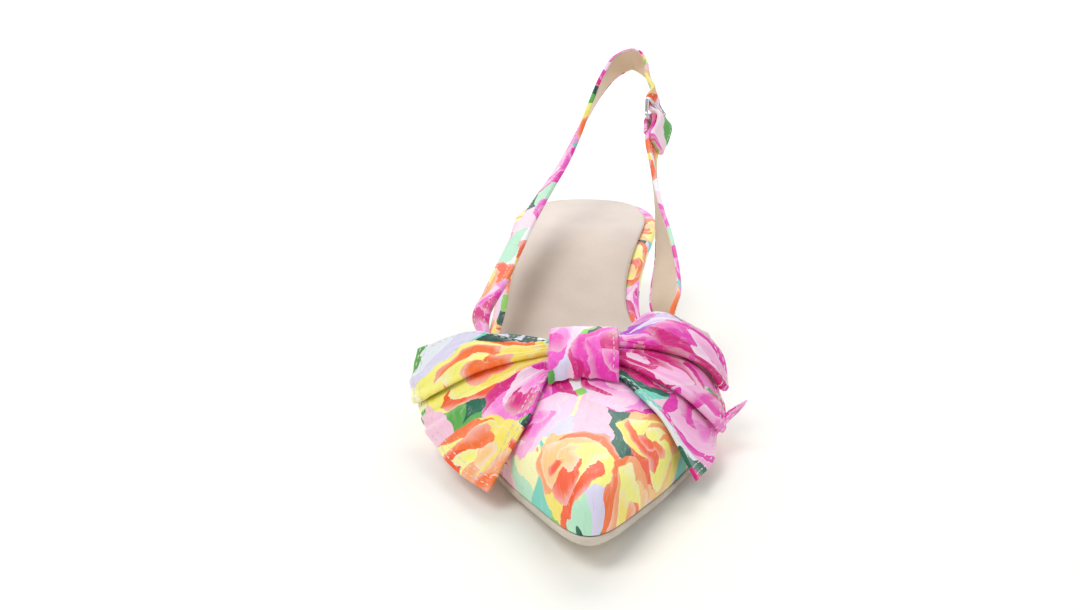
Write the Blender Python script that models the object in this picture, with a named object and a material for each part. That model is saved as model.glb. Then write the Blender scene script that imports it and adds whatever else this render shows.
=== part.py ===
"""Slingback shoe with a pointed toe, a kitten heel and a ribbon bow.

The toe points to -Y, the heel to +Y, +Z is up, and lengths are in metres. The origin is the middle of the heel
tip's face on the floor. Stations along the shoe are shares of its length, from the toe tip to the back of the heel.
"""

import math

import bpy
import numpy as np

# Overall sizes of the last
SHOE_LENGTH = 0.245
BALL_WIDTH = 0.0726
WAIST_WIDTH = 0.0500
SEAT_WIDTH = 0.0570
TOE_SPRING = 0.0070
HEEL_RISE = 0.0324
VAMP_HEIGHT = 0.0270

# Stations that the pieces start and end at, as distances from the toe tip
THROAT = 0.0780
SIDE_END = 0.1180
HEEL_BREAST = 0.1960
HEEL_TIP = 0.2270
FOOTBED_START = 0.0070
SOCK_START = 0.0095

# Thicknesses and fits
OUTSOLE = 0.0023
FOOTBED = 0.0040
SOCK = 0.0010
WALL = 0.0016
GAP = 0.0003
RIM_WIDTH = 0.0047
SOLE_LEDGE = 0.0004
SHANK_INSET = 0.0026
HEEL_INSET = 0.0012
SOCK_INSET = 0.0010
TOE_CLEARANCE = 0.0018
SIDE_STEP = 0.0025
LIFT_HEIGHT = 0.0030
LIFT_LENGTH = 0.0120
LIFT_WIDTH = 0.0125

# Sling strap and its buckle
STRAP_WIDTH = 0.0090
STRAP_BASE_WIDTH = 0.0125
STRAP_THICKNESS = 0.0018
SLING_HEIGHT = 0.0956
SLING_SPREAD = 0.0331
SLING_REACH = 0.2540
BUCKLE_LENGTH = 0.0105
BUCKLE_WIDTH = 0.0135
BUCKLE_WIRE = 0.0015
PRONG_WIRE = 0.0011
SLEEVE_LENGTH = 0.0060
TAIL_LENGTH = 0.0150

# Ribbon bow
BOW_OVERHANG = 0.0147
BOW_SPAN = 0.0480
BOW_RISE = 0.0040
BOW_CLOTH = 0.0006
BOW_CLEARANCE = 0.0007
LAYER_AT_KNOT = 0.0008
LAYER_AT_HEM = 0.0017
KNOT_WIDTH = 0.0194
KNOT_FRONT = 0.0175
KNOT_BACK = 0.0036
KNOT_CLOTH = 0.0010
WING_TUCK = 0.0040
KNOT_RISE = 0.0052

# Outline of the last: station, the width it follows, half-width as a share of that width
PLAN = (
    (0.000, BALL_WIDTH, 0.000),
    (0.008, BALL_WIDTH, 0.046),
    (0.020, BALL_WIDTH, 0.075),
    (0.041, BALL_WIDTH, 0.111),
    (0.082, BALL_WIDTH, 0.173),
    (0.163, BALL_WIDTH, 0.294),
    (0.245, BALL_WIDTH, 0.402),
    (0.318, BALL_WIDTH, 0.474),
    (0.388, BALL_WIDTH, 0.500),
    (0.449, BALL_WIDTH, 0.471),
    (0.510, BALL_WIDTH, 0.411),
    (0.612, WAIST_WIDTH, 0.500),
    (0.735, SEAT_WIDTH, 0.457),
    (0.865, SEAT_WIDTH, 0.496),
    (0.939, SEAT_WIDTH, 0.446),
    (0.980, SEAT_WIDTH, 0.313),
    (1.000, SEAT_WIDTH, 0.000),
)

# Bend of the outline's middle line: station, sideways shift as a share of the ball width
BEND = (
    (0.000, 0.022),
    (0.327, 0.027),
    (0.612, -0.085),
    (0.878, 0.000),
    (1.000, 0.000),
)

# Underside of the sole: station, share of the toe spring, share of the heel's rise
PROFILE = (
    (0.000, 1.00, 0.000),
    (0.082, 0.58, 0.000),
    (0.163, 0.24, 0.000),
    (0.286, 0.00, 0.000),
    (0.392, 0.00, 0.000),
    (0.441, 0.00, 0.050),
    (0.510, 0.00, 0.190),
    (0.592, 0.00, 0.400),
    (0.673, 0.00, 0.620),
    (0.755, 0.00, 0.800),
    (0.837, 0.00, 0.915),
    (1.000, 0.00, 1.000),
)

# Ridge of the vamp over the sole: station, height as a share of the vamp's height
RIDGE = (
    (0.000, 0.00),
    (0.004, 0.16),
    (0.014, 0.30),
    (0.035, 0.42),
    (0.082, 0.54),
    (0.163, 0.66),
    (0.245, 0.80),
    (0.318, 1.00),
    (0.388, 1.10),
    (0.500, 1.18),
)

# Rounded rim of the footbed: inset as a share of the rim's width, height as a share of the footbed's thickness
RIM = (
    (0.35, 0.00),
    (0.08, 0.18),
    (0.00, 0.45),
    (0.09, 0.76),
    (0.34, 0.96),
    (0.62, 1.00),
    (1.00, 0.92),
)

# Side of the outsole: inset as a share of the ledge, height as a share of the outsole's thickness
SOLE_SIDE = (
    (1.60, 0.00),
    (0.35, 0.22),
    (0.00, 0.50),
    (0.00, 0.80),
    (0.90, 1.00),
)

# Edge of the sock: inset as a share of its thickness, height as a share of its thickness
SOCK_SIDE = (
    (0.20, 0.00),
    (0.00, 0.45),
    (0.50, 1.00),
)

# Heel from its seat down to its tip: depth as a share of the heel's height, then the section's half-width and
# how far its breast and its back have moved from the seat's to the tip's, all as shares
HEEL = (
    (0.00, 0.00, 0.00, 0.00),
    (0.10, 0.10, 0.06, 0.03),
    (0.22, 0.33, 0.26, 0.16),
    (0.36, 0.58, 0.50, 0.38),
    (0.52, 0.78, 0.72, 0.62),
    (0.70, 0.92, 0.90, 0.83),
    (0.86, 0.98, 0.98, 0.95),
    (1.00, 1.00, 1.00, 1.00),
)

# Line of the sling, from the vamp's left side over the back and down to its right side: distance from the toe
# tip as a share of the sling's reach, sideways place as a share of its spread, height as a share of its height,
# how far the outer face leans up from upright, in degrees, and the share of the base's extra width there
SLING = (
    (0.463, -0.990, 0.275, 56, 0.0),
    (0.512, -0.885, 0.335, 60, 0.0),
    (0.591, -0.766, 0.400, 60, 0.0),
    (0.669, -0.640, 0.466, 58, 0.0),
    (0.748, -0.477, 0.536, 54, 0.0),
    (0.815, -0.290, 0.612, 47, 0.0),
    (0.874, -0.121, 0.706, 36, 0.0),
    (0.925, 0.033, 0.811, 24, 0.0),
    (0.965, 0.196, 0.908, 14, 0.0),
    (0.992, 0.380, 0.976, 5, 0.0),
    (1.000, 0.577, 1.000, 2, 0.0),
    (0.984, 0.715, 0.969, 18, 0.0),
    (0.957, 0.780, 0.906, 26, 0.0),
    (0.929, 0.822, 0.847, 31, 0.0),
    (0.902, 0.832, 0.793, 33, 0.0),
    (0.870, 0.800, 0.732, 31, 0.0),
    (0.835, 0.765, 0.675, 24, 0.0),
    (0.799, 0.770, 0.620, 14, 0.0),
    (0.732, 0.795, 0.534, 4, 0.0),
    (0.681, 0.813, 0.471, -10, 0.1),
    (0.622, 0.831, 0.411, -28, 0.5),
    (0.551, 0.815, 0.350, -44, 1.0),
    (0.500, 0.800, 0.312, -44, 1.1),
)
SLING_BUCKLE_ROW = 14
# Where the straps leave the edge of the vamp's sides, in degrees up from the sole's edge, and how far behind
# the edge the strap still follows its slant
SLING_LEFT_ROOT = 29
SLING_RIGHT_ROOT = 31
SLING_SLANT = 0.0160

# Cloth of the bow's wings. Each row is one line of the cloth, from the wing's back edge to its front edge: its
# share of the cloth's width, then three places along it, at the knot's side, halfway and at the hem. A place is
# how far out, as a share of the bow's reach, how far behind the throat, as a share of the bow's span, and its
# height, as a share of the knot's height
LEFT_WING = (
    (0.00, (0.206, -0.010, 0.815), (0.569, 0.167, 0.850), (0.940, 0.323, 0.645)),
    (0.20, (0.204, -0.070, 0.812), (0.569, 0.021, 0.775), (0.962, 0.188, 0.420)),
    (0.36, (0.202, -0.118, 0.808), (0.535, -0.115, 0.690), (0.935, 0.000, 0.292)),
    (0.58, (0.198, -0.190, 0.792), (0.520, -0.323, 0.613), (0.857, -0.260, 0.214)),
    (0.80, (0.190, -0.258, 0.765), (0.422, -0.563, 0.583), (0.667, -0.688, 0.155)),
    (1.00, (0.180, -0.318, 0.750), (0.286, -0.708, 0.583), (0.467, -1.000, 0.158)),
)
RIGHT_WING = (
    (0.00, (0.206, -0.020, 0.815), (0.345, 0.167, 0.965), (0.650, 0.323, 0.800)),
    (0.16, (0.204, -0.065, 0.812), (0.400, 0.063, 0.905), (0.715, 0.260, 0.590)),
    (0.32, (0.202, -0.112, 0.808), (0.450, -0.042, 0.765), (0.735, 0.125, 0.350)),
    (0.50, (0.198, -0.165, 0.800), (0.480, -0.208, 0.690), (0.745, -0.031, 0.285)),
    (0.66, (0.194, -0.215, 0.790), (0.465, -0.344, 0.645), (0.740, -0.188, 0.190)),
    (0.84, (0.188, -0.270, 0.768), (0.415, -0.531, 0.590), (0.675, -0.542, 0.137)),
    (1.00, (0.180, -0.318, 0.750), (0.363, -0.573, 0.649), (0.567, -0.833, 0.176)),
)
WING_PLACES = (0.24, 0.60, 1.00)

# How the cloth of a wing is folded, from its back edge to its front edge: share of its width, how many layers up it
# lies, and the number of steps to the next row
LEFT_FOLDS = (
    (0.000, 2.0, 5),
    (0.350, 2.0, 1),
    (0.366, 1.5, 1),
    (0.350, 1.0, 1),
    (0.246, 1.0, 1),
    (0.230, 0.5, 1),
    (0.246, 0.0, 4),
    (0.540, 0.1, 1),
    (0.580, 0.9, 1),
    (0.612, 0.8, 1),
    (0.640, 0.0, 5),
    (1.000, 0.2, 0),
)
RIGHT_FOLDS = (
    (0.000, 4.0, 5),
    (0.310, 4.0, 1),
    (0.332, 3.5, 1),
    (0.310, 3.0, 1),
    (0.216, 3.0, 1),
    (0.194, 2.5, 1),
    (0.216, 2.0, 5),
    (0.650, 2.0, 1),
    (0.670, 1.5, 1),
    (0.650, 1.0, 1),
    (0.556, 1.0, 1),
    (0.536, 0.5, 1),
    (0.556, 0.0, 5),
    (1.000, 0.2, 0),
)
# Band of the knot from front to back: share of its length, height as a share of its rise
KNOT = (
    (0.00, 0.10),
    (0.03, 0.55),
    (0.10, 0.92),
    (0.25, 1.00),
    (0.50, 1.04),
    (0.75, 1.00),
    (0.90, 0.86),
    (0.97, 0.52),
    (1.00, 0.10),
)

# How squarely the vamp's section stands up from the sole, and how far its side swells past the sole's line
VAMP_SQUARENESS = 2.35
VAMP_SWELL_SHARE = 0.025
# How steeply the throat's edge runs back at the sides
THROAT_SWEEP = 1.6

# Most that an edge may move in at the narrow toe, as a share of the half-width there
TOE_INSET_SHARE = 0.45
# Where the vamp's hollow starts, in wall thicknesses behind the toe tip, and how its rows crowd at the toe
HOLLOW_START = 2.1
TOE_CROWDING = 1.7
TOE_CROWDED_SHARE = 0.55
# Corner radius of the buckle's frame in wire thicknesses, and the steps round a corner
BUCKLE_CORNER = 1.4
CORNER_STEPS = 3
# How far from the buckle its straight stretch fades out, in buckle lengths
STRAIGHT_FADE = 1.6

WING_STEPS = 11
KNOT_STEPS = 6
SLEEVE_STEPS = 6
WIRE_SIDES = 8
SLING_STEPS = 96
OUTLINE_STEPS = 44
VAMP_RINGS = 22
VAMP_SPOKES = 30
HEEL_STEPS = 9

COLOURS = {
    "outsole": (0.62, 0.53, 0.42, 1.0),
    "print": (0.86, 0.30, 0.45, 1.0),
    "lining": (0.60, 0.47, 0.35, 1.0),
    "lift": (0.10, 0.08, 0.07, 1.0),
    "silver": (0.75, 0.75, 0.76, 1.0),
}


def monotone(xs, ys, x):
    """A smooth curve through the rows that never overshoots them, read at x."""
    xs = np.asarray(xs, float)
    ys = np.asarray(ys, float)
    step = np.diff(xs)
    slope = np.diff(ys) / step
    tangent = np.zeros(len(xs))
    same_way = slope[:-1] * slope[1:] > 0
    before = 2 * step[1:] + step[:-1]
    after = step[1:] + 2 * step[:-1]
    with np.errstate(divide="ignore", invalid="ignore"):
        mean = (before + after) / (before / slope[:-1] + after / slope[1:])
    tangent[1:-1] = np.where(same_way, mean, 0.0)
    tangent[0] = slope[0]
    tangent[-1] = slope[-1]
    x = np.clip(x, xs[0], xs[-1])
    i = np.clip(np.searchsorted(xs, x, side="right") - 1, 0, len(step) - 1)
    t = (x - xs[i]) / step[i]
    rise = ys[i + 1] - ys[i]
    a = tangent[i] * step[i]
    b = tangent[i + 1] * step[i]
    return ys[i] + a * t + (3 * rise - 2 * a - b) * t**2 + (a + b - 2 * rise) * t**3


def round_ended(station):
    """Angle that spreads the stations so that both ends of an outline come out round."""
    return np.arccos(np.clip(1 - 2 * np.asarray(station, float), -1, 1))


def half_width(distance):
    """Half the last's width at a distance from the toe tip."""
    angles = round_ended([row[0] for row in PLAN])
    widths = [row[1] * row[2] for row in PLAN]
    return monotone(angles, widths, round_ended(distance / SHOE_LENGTH))


def middle(distance):
    """Sideways place of the outline's middle line."""
    shifts = [row[1] * BALL_WIDTH for row in BEND]
    return monotone([row[0] for row in BEND], shifts, distance / SHOE_LENGTH)


def underside(distance):
    """Height of the outsole's underside."""
    rise = [row[1] * TOE_SPRING + row[2] * HEEL_RISE for row in PROFILE]
    return monotone([row[0] for row in PROFILE], rise, distance / SHOE_LENGTH)


def sole_top(distance):
    """Height that the upper and the footbed stand at, just clear of the outsole."""
    return underside(distance) + OUTSOLE + GAP


def ridge_height(distance):
    """Height of the vamp's ridge over the sole."""
    angles = round_ended([row[0] for row in RIDGE])
    heights = [row[1] * VAMP_HEIGHT for row in RIDGE]
    return monotone(angles, heights, round_ended(distance / SHOE_LENGTH))


def place(across, distance, height):
    """World point from sideways place, distance from the toe tip and height."""
    return np.stack(np.broadcast_arrays(across, distance - HEEL_TIP, height), axis=-1)


def material(name, colour, roughness, metallic=0.0):
    """A plain Principled material."""
    made = bpy.data.materials.new(name)
    made.use_nodes = True
    shader = made.node_tree.nodes["Principled BSDF"]
    shader.inputs["Base Color"].default_value = colour
    shader.inputs["Roughness"].default_value = roughness
    shader.inputs["Metallic"].default_value = metallic
    return made


def add_object(name, points, faces, finish, sharp_degrees=35):
    """A mesh object from points and faces, shaded smooth with its edges kept sharp."""
    mesh = bpy.data.meshes.new(name)
    mesh.from_pydata([tuple(map(float, point)) for point in points], [], faces)
    mesh.validate()
    mesh.shade_smooth()
    mesh.set_sharp_from_angle(angle=math.radians(sharp_degrees))
    mesh.materials.append(finish)
    made = bpy.data.objects.new(name, mesh)
    bpy.context.scene.collection.objects.link(made)
    return made


def stations(start, end):
    """Distances from start to end, closer together at the shoe's ends, with the vamp's side ends among them."""
    breaks = [at for at in (SIDE_END + GAP, SIDE_END + GAP + SIDE_STEP) if start < at < end]
    angles = round_ended(np.array([start] + breaks + [end]) / SHOE_LENGTH)
    spread = [angles[:1]]
    for low, high in zip(angles, angles[1:]):
        count = max(1, round(OUTLINE_STEPS * (high - low) / math.pi))
        spread.append(np.linspace(low, high, count + 1)[1:])
    return SHOE_LENGTH * (1 - np.cos(np.concatenate(spread))) / 2


def outline(start, end, grow):
    """Left and right edges of the last's outline between two distances, moved out by grow, each from front to back.

    grow is a number, or a function of the distance. Its inward part is limited at the narrow toe.
    """
    distance = stations(start, end)
    width = half_width(distance)
    step = np.gradient(np.array([distance, width]), axis=1)
    length = np.hypot(*step)
    amount = grow(distance) if callable(grow) else np.full_like(distance, grow)
    in_toe = distance < SHOE_LENGTH / 2
    amount = np.where(in_toe, np.maximum(amount, -TOE_INSET_SHARE * width), amount)
    out_across = step[0] / length
    out_along = -step[1] / length
    if width[0] < 1e-6:
        out_across[0] = 0.0
        out_along[0] = -1.0
    if width[-1] < 1e-6:
        out_across[-1] = 0.0
        out_along[-1] = 1.0
    reach = width + amount * out_across
    moved = distance + amount * out_along
    centre = middle(distance)
    return centre - reach, centre + reach, moved


def slab(start, end, levels, height):
    """Points and faces of a closed sheet with the last's outline.

    levels lists, from the underside up, how far the outline is moved out and the share of the thickness, and
    height(distance, share) gives the height of a point.
    """
    points = []
    rows = []
    for grow, share in levels:
        left, right, distance = outline(start, end, grow)
        z = height(distance, share)
        joined_front = right[0] - left[0] < 1e-6
        joined_back = right[-1] - left[-1] < 1e-6
        left_row = len(points) + np.arange(len(distance))
        points.extend(place(left, distance, z))
        right_row = len(points) + np.arange(len(distance))
        points.extend(place(right, distance, z))
        if joined_front:
            right_row[0] = left_row[0]
        if joined_back:
            right_row[-1] = left_row[-1]
        rows.append((left_row, right_row))
    faces = []
    for (low_left, low_right), (high_left, high_right) in zip(rows, rows[1:]):
        for i in range(len(low_left) - 1):
            faces.append((low_left[i], high_left[i], high_left[i + 1], low_left[i + 1]))
            faces.append((low_right[i], low_right[i + 1], high_right[i + 1], high_right[i]))
    for (left, right), upward in ((rows[0], False), (rows[-1], True)):
        for i in range(len(left) - 1):
            corners = [left[i], right[i], right[i + 1], left[i + 1]]
            faces.append(tuple(corners if upward else corners[::-1]))
    lefts = [left[0] for left, _ in rows]
    rights = [right[0] for _, right in rows]
    if lefts[0] != rights[0]:
        faces.append(tuple(rights + lefts[::-1]))
    lefts = [left[-1] for left, _ in rows]
    rights = [right[-1] for _, right in rows]
    if lefts[0] != rights[0]:
        faces.append(tuple(lefts + rights[::-1]))
    return tidy(points, faces)


def tidy(points, faces):
    """Drops repeated corners in faces, and points that no face uses."""
    kept = []
    for face in faces:
        corners = []
        for corner in face:
            if int(corner) not in corners:
                corners.append(int(corner))
        if len(corners) > 2:
            kept.append(corners)
    used = sorted({corner for face in kept for corner in face})
    renumbered = {old: new for new, old in enumerate(used)}
    return [points[i] for i in used], [tuple(renumbered[corner] for corner in face) for face in kept]


def inside_vamp(distance, inner, outer):
    """A value that is inner between the vamp's sides and outer behind them, changing just behind their ends."""
    t = np.clip((distance - SIDE_END - GAP) / SIDE_STEP, 0, 1)
    in_toe = np.clip(1 - distance / SIDE_END, 0, 1)
    return inner - TOE_CLEARANCE * in_toe + (outer - inner) * t


def make_outsole(finish):
    """The beige sheet sole, from the toe to the heel's breast, narrower under the arch."""

    def grow(inset):
        def amount(distance):
            t = np.clip((distance - SIDE_END) / (HEEL_BREAST - SIDE_END), 0, 1)
            return SOLE_LEDGE - inset * SOLE_LEDGE - SHANK_INSET * np.sin(t * math.pi / 2)

        return amount

    levels = [(grow(inset), share) for inset, share in SOLE_SIDE]
    points, faces = slab(0.0, HEEL_BREAST, levels, lambda d, share: underside(d) + share * OUTSOLE)
    return add_object("outsole", points, faces, finish)


def make_footbed(finish):
    """The insole board, inside the vamp in front and a rounded rim at the waist and the seat."""

    def grow(inset):
        return lambda d: inside_vamp(d, -(WALL + GAP), 0.0) - inset * RIM_WIDTH

    levels = [(grow(inset), share) for inset, share in RIM]
    points, faces = slab(FOOTBED_START, SHOE_LENGTH, levels, lambda d, share: sole_top(d) + share * FOOTBED)
    return add_object("footbed", points, faces, finish)


def make_sock(finish):
    """The tan sheet that the foot rests on."""

    def grow(inset):
        def amount(distance):
            edge = inside_vamp(distance, -(WALL + GAP + SOCK_INSET), -RIM_WIDTH)
            return edge - inset * SOCK

        return amount

    levels = [(grow(inset), share) for inset, share in SOCK_SIDE]

    def height(distance, share):
        return sole_top(distance) + FOOTBED + GAP + share * SOCK

    points, faces = slab(SOCK_START, SHOE_LENGTH, levels, height)
    return add_object("insole_sock", points, faces, finish)


def vamp_surface(distance, angle):
    """Point on the vamp's outer surface. The angle runs from the right edge, over the ridge, to the left edge."""
    cosine = np.cos(angle)
    sine = np.sin(angle)
    power = 2 / VAMP_SQUARENESS
    swell = 1 + VAMP_SWELL_SHARE * np.sin(2 * np.clip(np.minimum(angle, math.pi - angle), 0, math.pi / 2))
    across = half_width(distance) * np.sign(cosine) * np.abs(cosine) ** power * swell
    height = ridge_height(distance) * np.abs(sine) ** power
    return place(middle(distance) + across, distance, sole_top(distance) + height)


def throat_distance(angle):
    """Distance from the toe tip to the throat's edge."""
    return THROAT + (SIDE_END - THROAT) * np.abs(np.cos(angle)) ** THROAT_SWEEP


def vamp_normal(distance, angle):
    """Outward direction of the vamp's surface."""
    nudge_along = 1e-4
    nudge_round = 1e-3
    near = vamp_surface(distance - nudge_along, angle)
    far = vamp_surface(distance + nudge_along, angle)
    along = far - near
    low = np.clip(angle - nudge_round, 0, math.pi)
    high = np.clip(angle + nudge_round, 0, math.pi)
    around = vamp_surface(distance, high) - vamp_surface(distance, low)
    normal = np.cross(along, around)
    return normal / np.linalg.norm(normal, axis=-1, keepdims=True)


def vamp_inside(distance, angle, depth):
    """Point below the vamp's outer surface by a depth."""
    return vamp_surface(distance, angle) - depth * vamp_normal(distance, angle)


def vamp_grid(ring):
    """Distances and angles of one ring of the vamp, where ring runs from 0 at the toe tip to 1 at the throat."""
    angle = np.linspace(0, math.pi, VAMP_SPOKES + 1)
    reach = ring**TOE_CROWDING * TOE_CROWDED_SHARE + ring * (1 - TOE_CROWDED_SHARE)
    return reach * throat_distance(angle), angle


def make_upper(finish):
    """The hollow vamp, with its wall's real thickness, open at the throat and underneath."""
    first_ring = HOLLOW_START * WALL / THROAT
    points = [place(middle(0.0), 0.0, sole_top(0.0))]
    outer = []
    for i in range(1, VAMP_RINGS + 1):
        distance, angle = vamp_grid(i / VAMP_RINGS)
        outer.append(len(points) + np.arange(VAMP_SPOKES + 1))
        points.extend(vamp_surface(distance, angle))
    inner = []
    for i in range(1, VAMP_RINGS + 1):
        share = first_ring + (1 - first_ring) * (i - 1) / (VAMP_RINGS - 1)
        distance = share * throat_distance(np.linspace(0, math.pi, VAMP_SPOKES + 1))
        angle = np.linspace(0, math.pi, VAMP_SPOKES + 1)
        ring = vamp_inside(distance, angle, WALL)
        for edge in (0, -1):
            ring[edge][2] = sole_top(ring[edge][1] + HEEL_TIP)
        inner.append(len(points) + np.arange(VAMP_SPOKES + 1))
        points.extend(ring)
    front = min(points[i][1] for i in inner[0])
    inner_tip = len(points)
    points.append(place(middle(0.0), front + HEEL_TIP, sole_top(front + HEEL_TIP)))
    faces = []
    for j in range(VAMP_SPOKES):
        faces.append((0, outer[0][j], outer[0][j + 1]))
        faces.append((inner_tip, inner[0][j + 1], inner[0][j]))
        for i in range(VAMP_RINGS - 1):
            faces.append((outer[i][j], outer[i + 1][j], outer[i + 1][j + 1], outer[i][j + 1]))
            faces.append((inner[i][j + 1], inner[i + 1][j + 1], inner[i + 1][j], inner[i][j]))
        faces.append((outer[-1][j], inner[-1][j], inner[-1][j + 1], outer[-1][j + 1]))
    for edge, turned in ((0, False), (-1, True)):
        outer_row = [0] + [ring[edge] for ring in outer]
        inner_row = [inner_tip] + [ring[edge] for ring in inner]
        for i in range(VAMP_RINGS):
            corners = [outer_row[i], inner_row[i], inner_row[i + 1], outer_row[i + 1]]
            faces.append(tuple(corners[::-1] if turned else corners))
    points, faces = tidy(points, faces)
    return add_object("upper", points, faces, finish)


def heel_ring(depth):
    """Points round the heel's section at a depth share, from the breast's right corner round the back to its left."""
    left, right, distance = outline(HEEL_BREAST + GAP, SHOE_LENGTH, -HEEL_INSET)
    across = np.concatenate([right, left[-2::-1]]) - middle(SHOE_LENGTH)
    along = np.concatenate([distance, distance[-2::-1]])
    keep = np.linspace(0, len(across) - 1, 4 * HEEL_STEPS + 1).round().astype(int)
    across = across[keep]
    along = along[keep]
    depths = [row[0] for row in HEEL]
    narrowed, breast, back = (monotone(depths, [row[k] for row in HEEL], depth) for k in (1, 2, 3))
    widest = across.max()
    seat_front = along.min()
    seat_back = along.max()
    front = seat_front + breast * (HEEL_TIP - LIFT_LENGTH / 2 - seat_front)
    rear = seat_back + back * (HEEL_TIP + LIFT_LENGTH / 2 - seat_back)
    width = 1 + narrowed * (LIFT_WIDTH / 2 / widest - 1)
    moved = front + (along - seat_front) / (seat_back - seat_front) * (rear - front)
    seat = sole_top(along) - GAP
    height = LIFT_HEIGHT + GAP + (1 - depth) * (seat - LIFT_HEIGHT - GAP)
    return place(across * width, moved, height)


def loft(rings):
    """Points and faces of a closed solid through rings of equal count, listed from top to bottom."""
    points = []
    rows = []
    for ring in rings:
        rows.append(len(points) + np.arange(len(ring)))
        points.extend(ring)
    faces = []
    count = len(rows[0])
    for high, low in zip(rows, rows[1:]):
        for j in range(count):
            k = (j + 1) % count
            faces.append((low[j], low[k], high[k], high[j]))
    half = (count - 1) // 2
    for row, upward in ((rows[0], True), (rows[-1], False)):
        for j in range(half):
            corners = [row[j], row[j + 1], row[count - 2 - j], row[count - 1 - j]]
            faces.append(tuple(corners if upward else corners[::-1]))
    return tidy(points, faces)


def make_heel(finish):
    """The set-back kitten heel, wide at the seat and slim at its tip."""
    points, faces = loft([heel_ring(row[0]) for row in HEEL])
    return add_object("heel", points, faces, finish)


def make_lift(finish):
    """The heel's wearing piece, flat on the floor."""
    tip = heel_ring(1.0)
    high = tip.copy()
    high[:, 2] = LIFT_HEIGHT
    low = tip.copy()
    low[:, 2] = 0.0
    points, faces = loft([high, low])
    return add_object("top_lift", points, faces, finish)


def smooth_line(knots, count):
    """Evenly spaced rows along a smooth curve through the knots, whose first three columns are a place."""
    knots = np.asarray(knots, float)
    chord = np.sqrt(np.linalg.norm(np.diff(knots[:, :3], axis=0), axis=1))
    at = np.concatenate([[0], np.cumsum(chord)])
    fine = np.linspace(0, at[-1], 12 * count)
    slope = np.gradient(knots, at, axis=0)
    i = np.clip(np.searchsorted(at, fine, side="right") - 1, 0, len(at) - 2)
    width = (at[i + 1] - at[i])[:, None]
    t = (fine - at[i])[:, None] / width
    rows = (
        (2 * t**3 - 3 * t**2 + 1) * knots[i]
        + (t**3 - 2 * t**2 + t) * width * slope[i]
        + (3 * t**2 - 2 * t**3) * knots[i + 1]
        + (t**3 - t**2) * width * slope[i + 1]
    )
    run = np.concatenate([[0], np.cumsum(np.linalg.norm(np.diff(rows[:, :3], axis=0), axis=1))])
    even = np.linspace(0, run[-1], count)
    return np.stack([np.interp(even, run, rows[:, k]) for k in range(rows.shape[1])], axis=1), even


def sling_root(degrees, width, left):
    """Middle, direction along the vamp's edge, direction out and width of the strap's end at the edge of a side."""
    turn = -1 if left else 1
    start = math.pi - math.radians(degrees) if left else math.radians(degrees)

    def edge(angle):
        return vamp_inside(throat_distance(angle) + 2 * GAP, angle, WALL / 2)

    speed = np.linalg.norm(edge(start + 0.01) - edge(start - 0.01)) / 0.02
    low = edge(start - turn * width / 2 / speed)
    high = edge(start + turn * width / 2 / speed)
    out = vamp_normal(throat_distance(start), start)
    span = high - low
    return (low + high) / 2, span / np.linalg.norm(span), out, np.linalg.norm(span)


def sling_line():
    """The sling's middle line: rows of place, lean and width, the length run to each row, and the buckle's place."""
    left = sling_root(SLING_LEFT_ROOT, STRAP_WIDTH, left=True)
    right = sling_root(SLING_RIGHT_ROOT, STRAP_BASE_WIDTH, left=False)
    rows = [[*left[0], math.degrees(math.asin(left[2][2])), left[3]]]
    for station, across, height, lean, widened in SLING:
        point = place(across * SLING_SPREAD, station * SLING_REACH, height * SLING_HEIGHT)
        rows.append([*point, lean, STRAP_WIDTH + widened * (STRAP_BASE_WIDTH - STRAP_WIDTH)])
    buckle = np.array(rows[1 + SLING_BUCKLE_ROW][:3])
    rows.append([*right[0], math.degrees(math.asin(right[2][2])), right[3]])
    line, run = smooth_line(rows, SLING_STEPS * 3 + 1)
    nearest = int(np.argmin(np.linalg.norm(line[:, :3] - buckle, axis=1)))
    past = run - run[nearest]
    ends = np.searchsorted(past, [-BUCKLE_LENGTH / 2, BUCKLE_LENGTH / 2])
    slope = (line[ends[1]] - line[ends[0]]) / (run[ends[1]] - run[ends[0]])
    slope[3:] = 0
    straight = line[nearest] + past[:, None] * slope
    near = 1 - step_between(np.abs(past), BUCKLE_LENGTH, BUCKLE_LENGTH * STRAIGHT_FADE)
    return line + (straight - line) * near[:, None], run, run[nearest]


def slanted(across, run, root):
    """The directions across a strap, turned at its root to follow the slant of the vamp's edge."""
    near = 1 - step_between(run, 0, SLING_SLANT)
    turned = across + (root[1] - across) * near[:, None]
    return turned / np.linalg.norm(turned, axis=1, keepdims=True)


def frames(line):
    """Directions along, across and out of a strap at each row of its line."""
    along = np.gradient(line[:, :3], axis=0)
    along /= np.linalg.norm(along, axis=1, keepdims=True)
    level = np.cross([0, 0, 1], along)
    level /= np.linalg.norm(level, axis=1, keepdims=True)
    up = np.cross(along, level)
    lean = np.radians(line[:, 3])[:, None]
    out = level * np.cos(lean) + up * np.sin(lean)
    across = up * np.cos(lean) - level * np.sin(lean)
    return along, across, out


def step_between(x, low, high):
    """A soft step from 0 to 1 between two values."""
    t = np.clip((x - low) / (high - low), 0, 1)
    return t * t * (3 - 2 * t)


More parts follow.
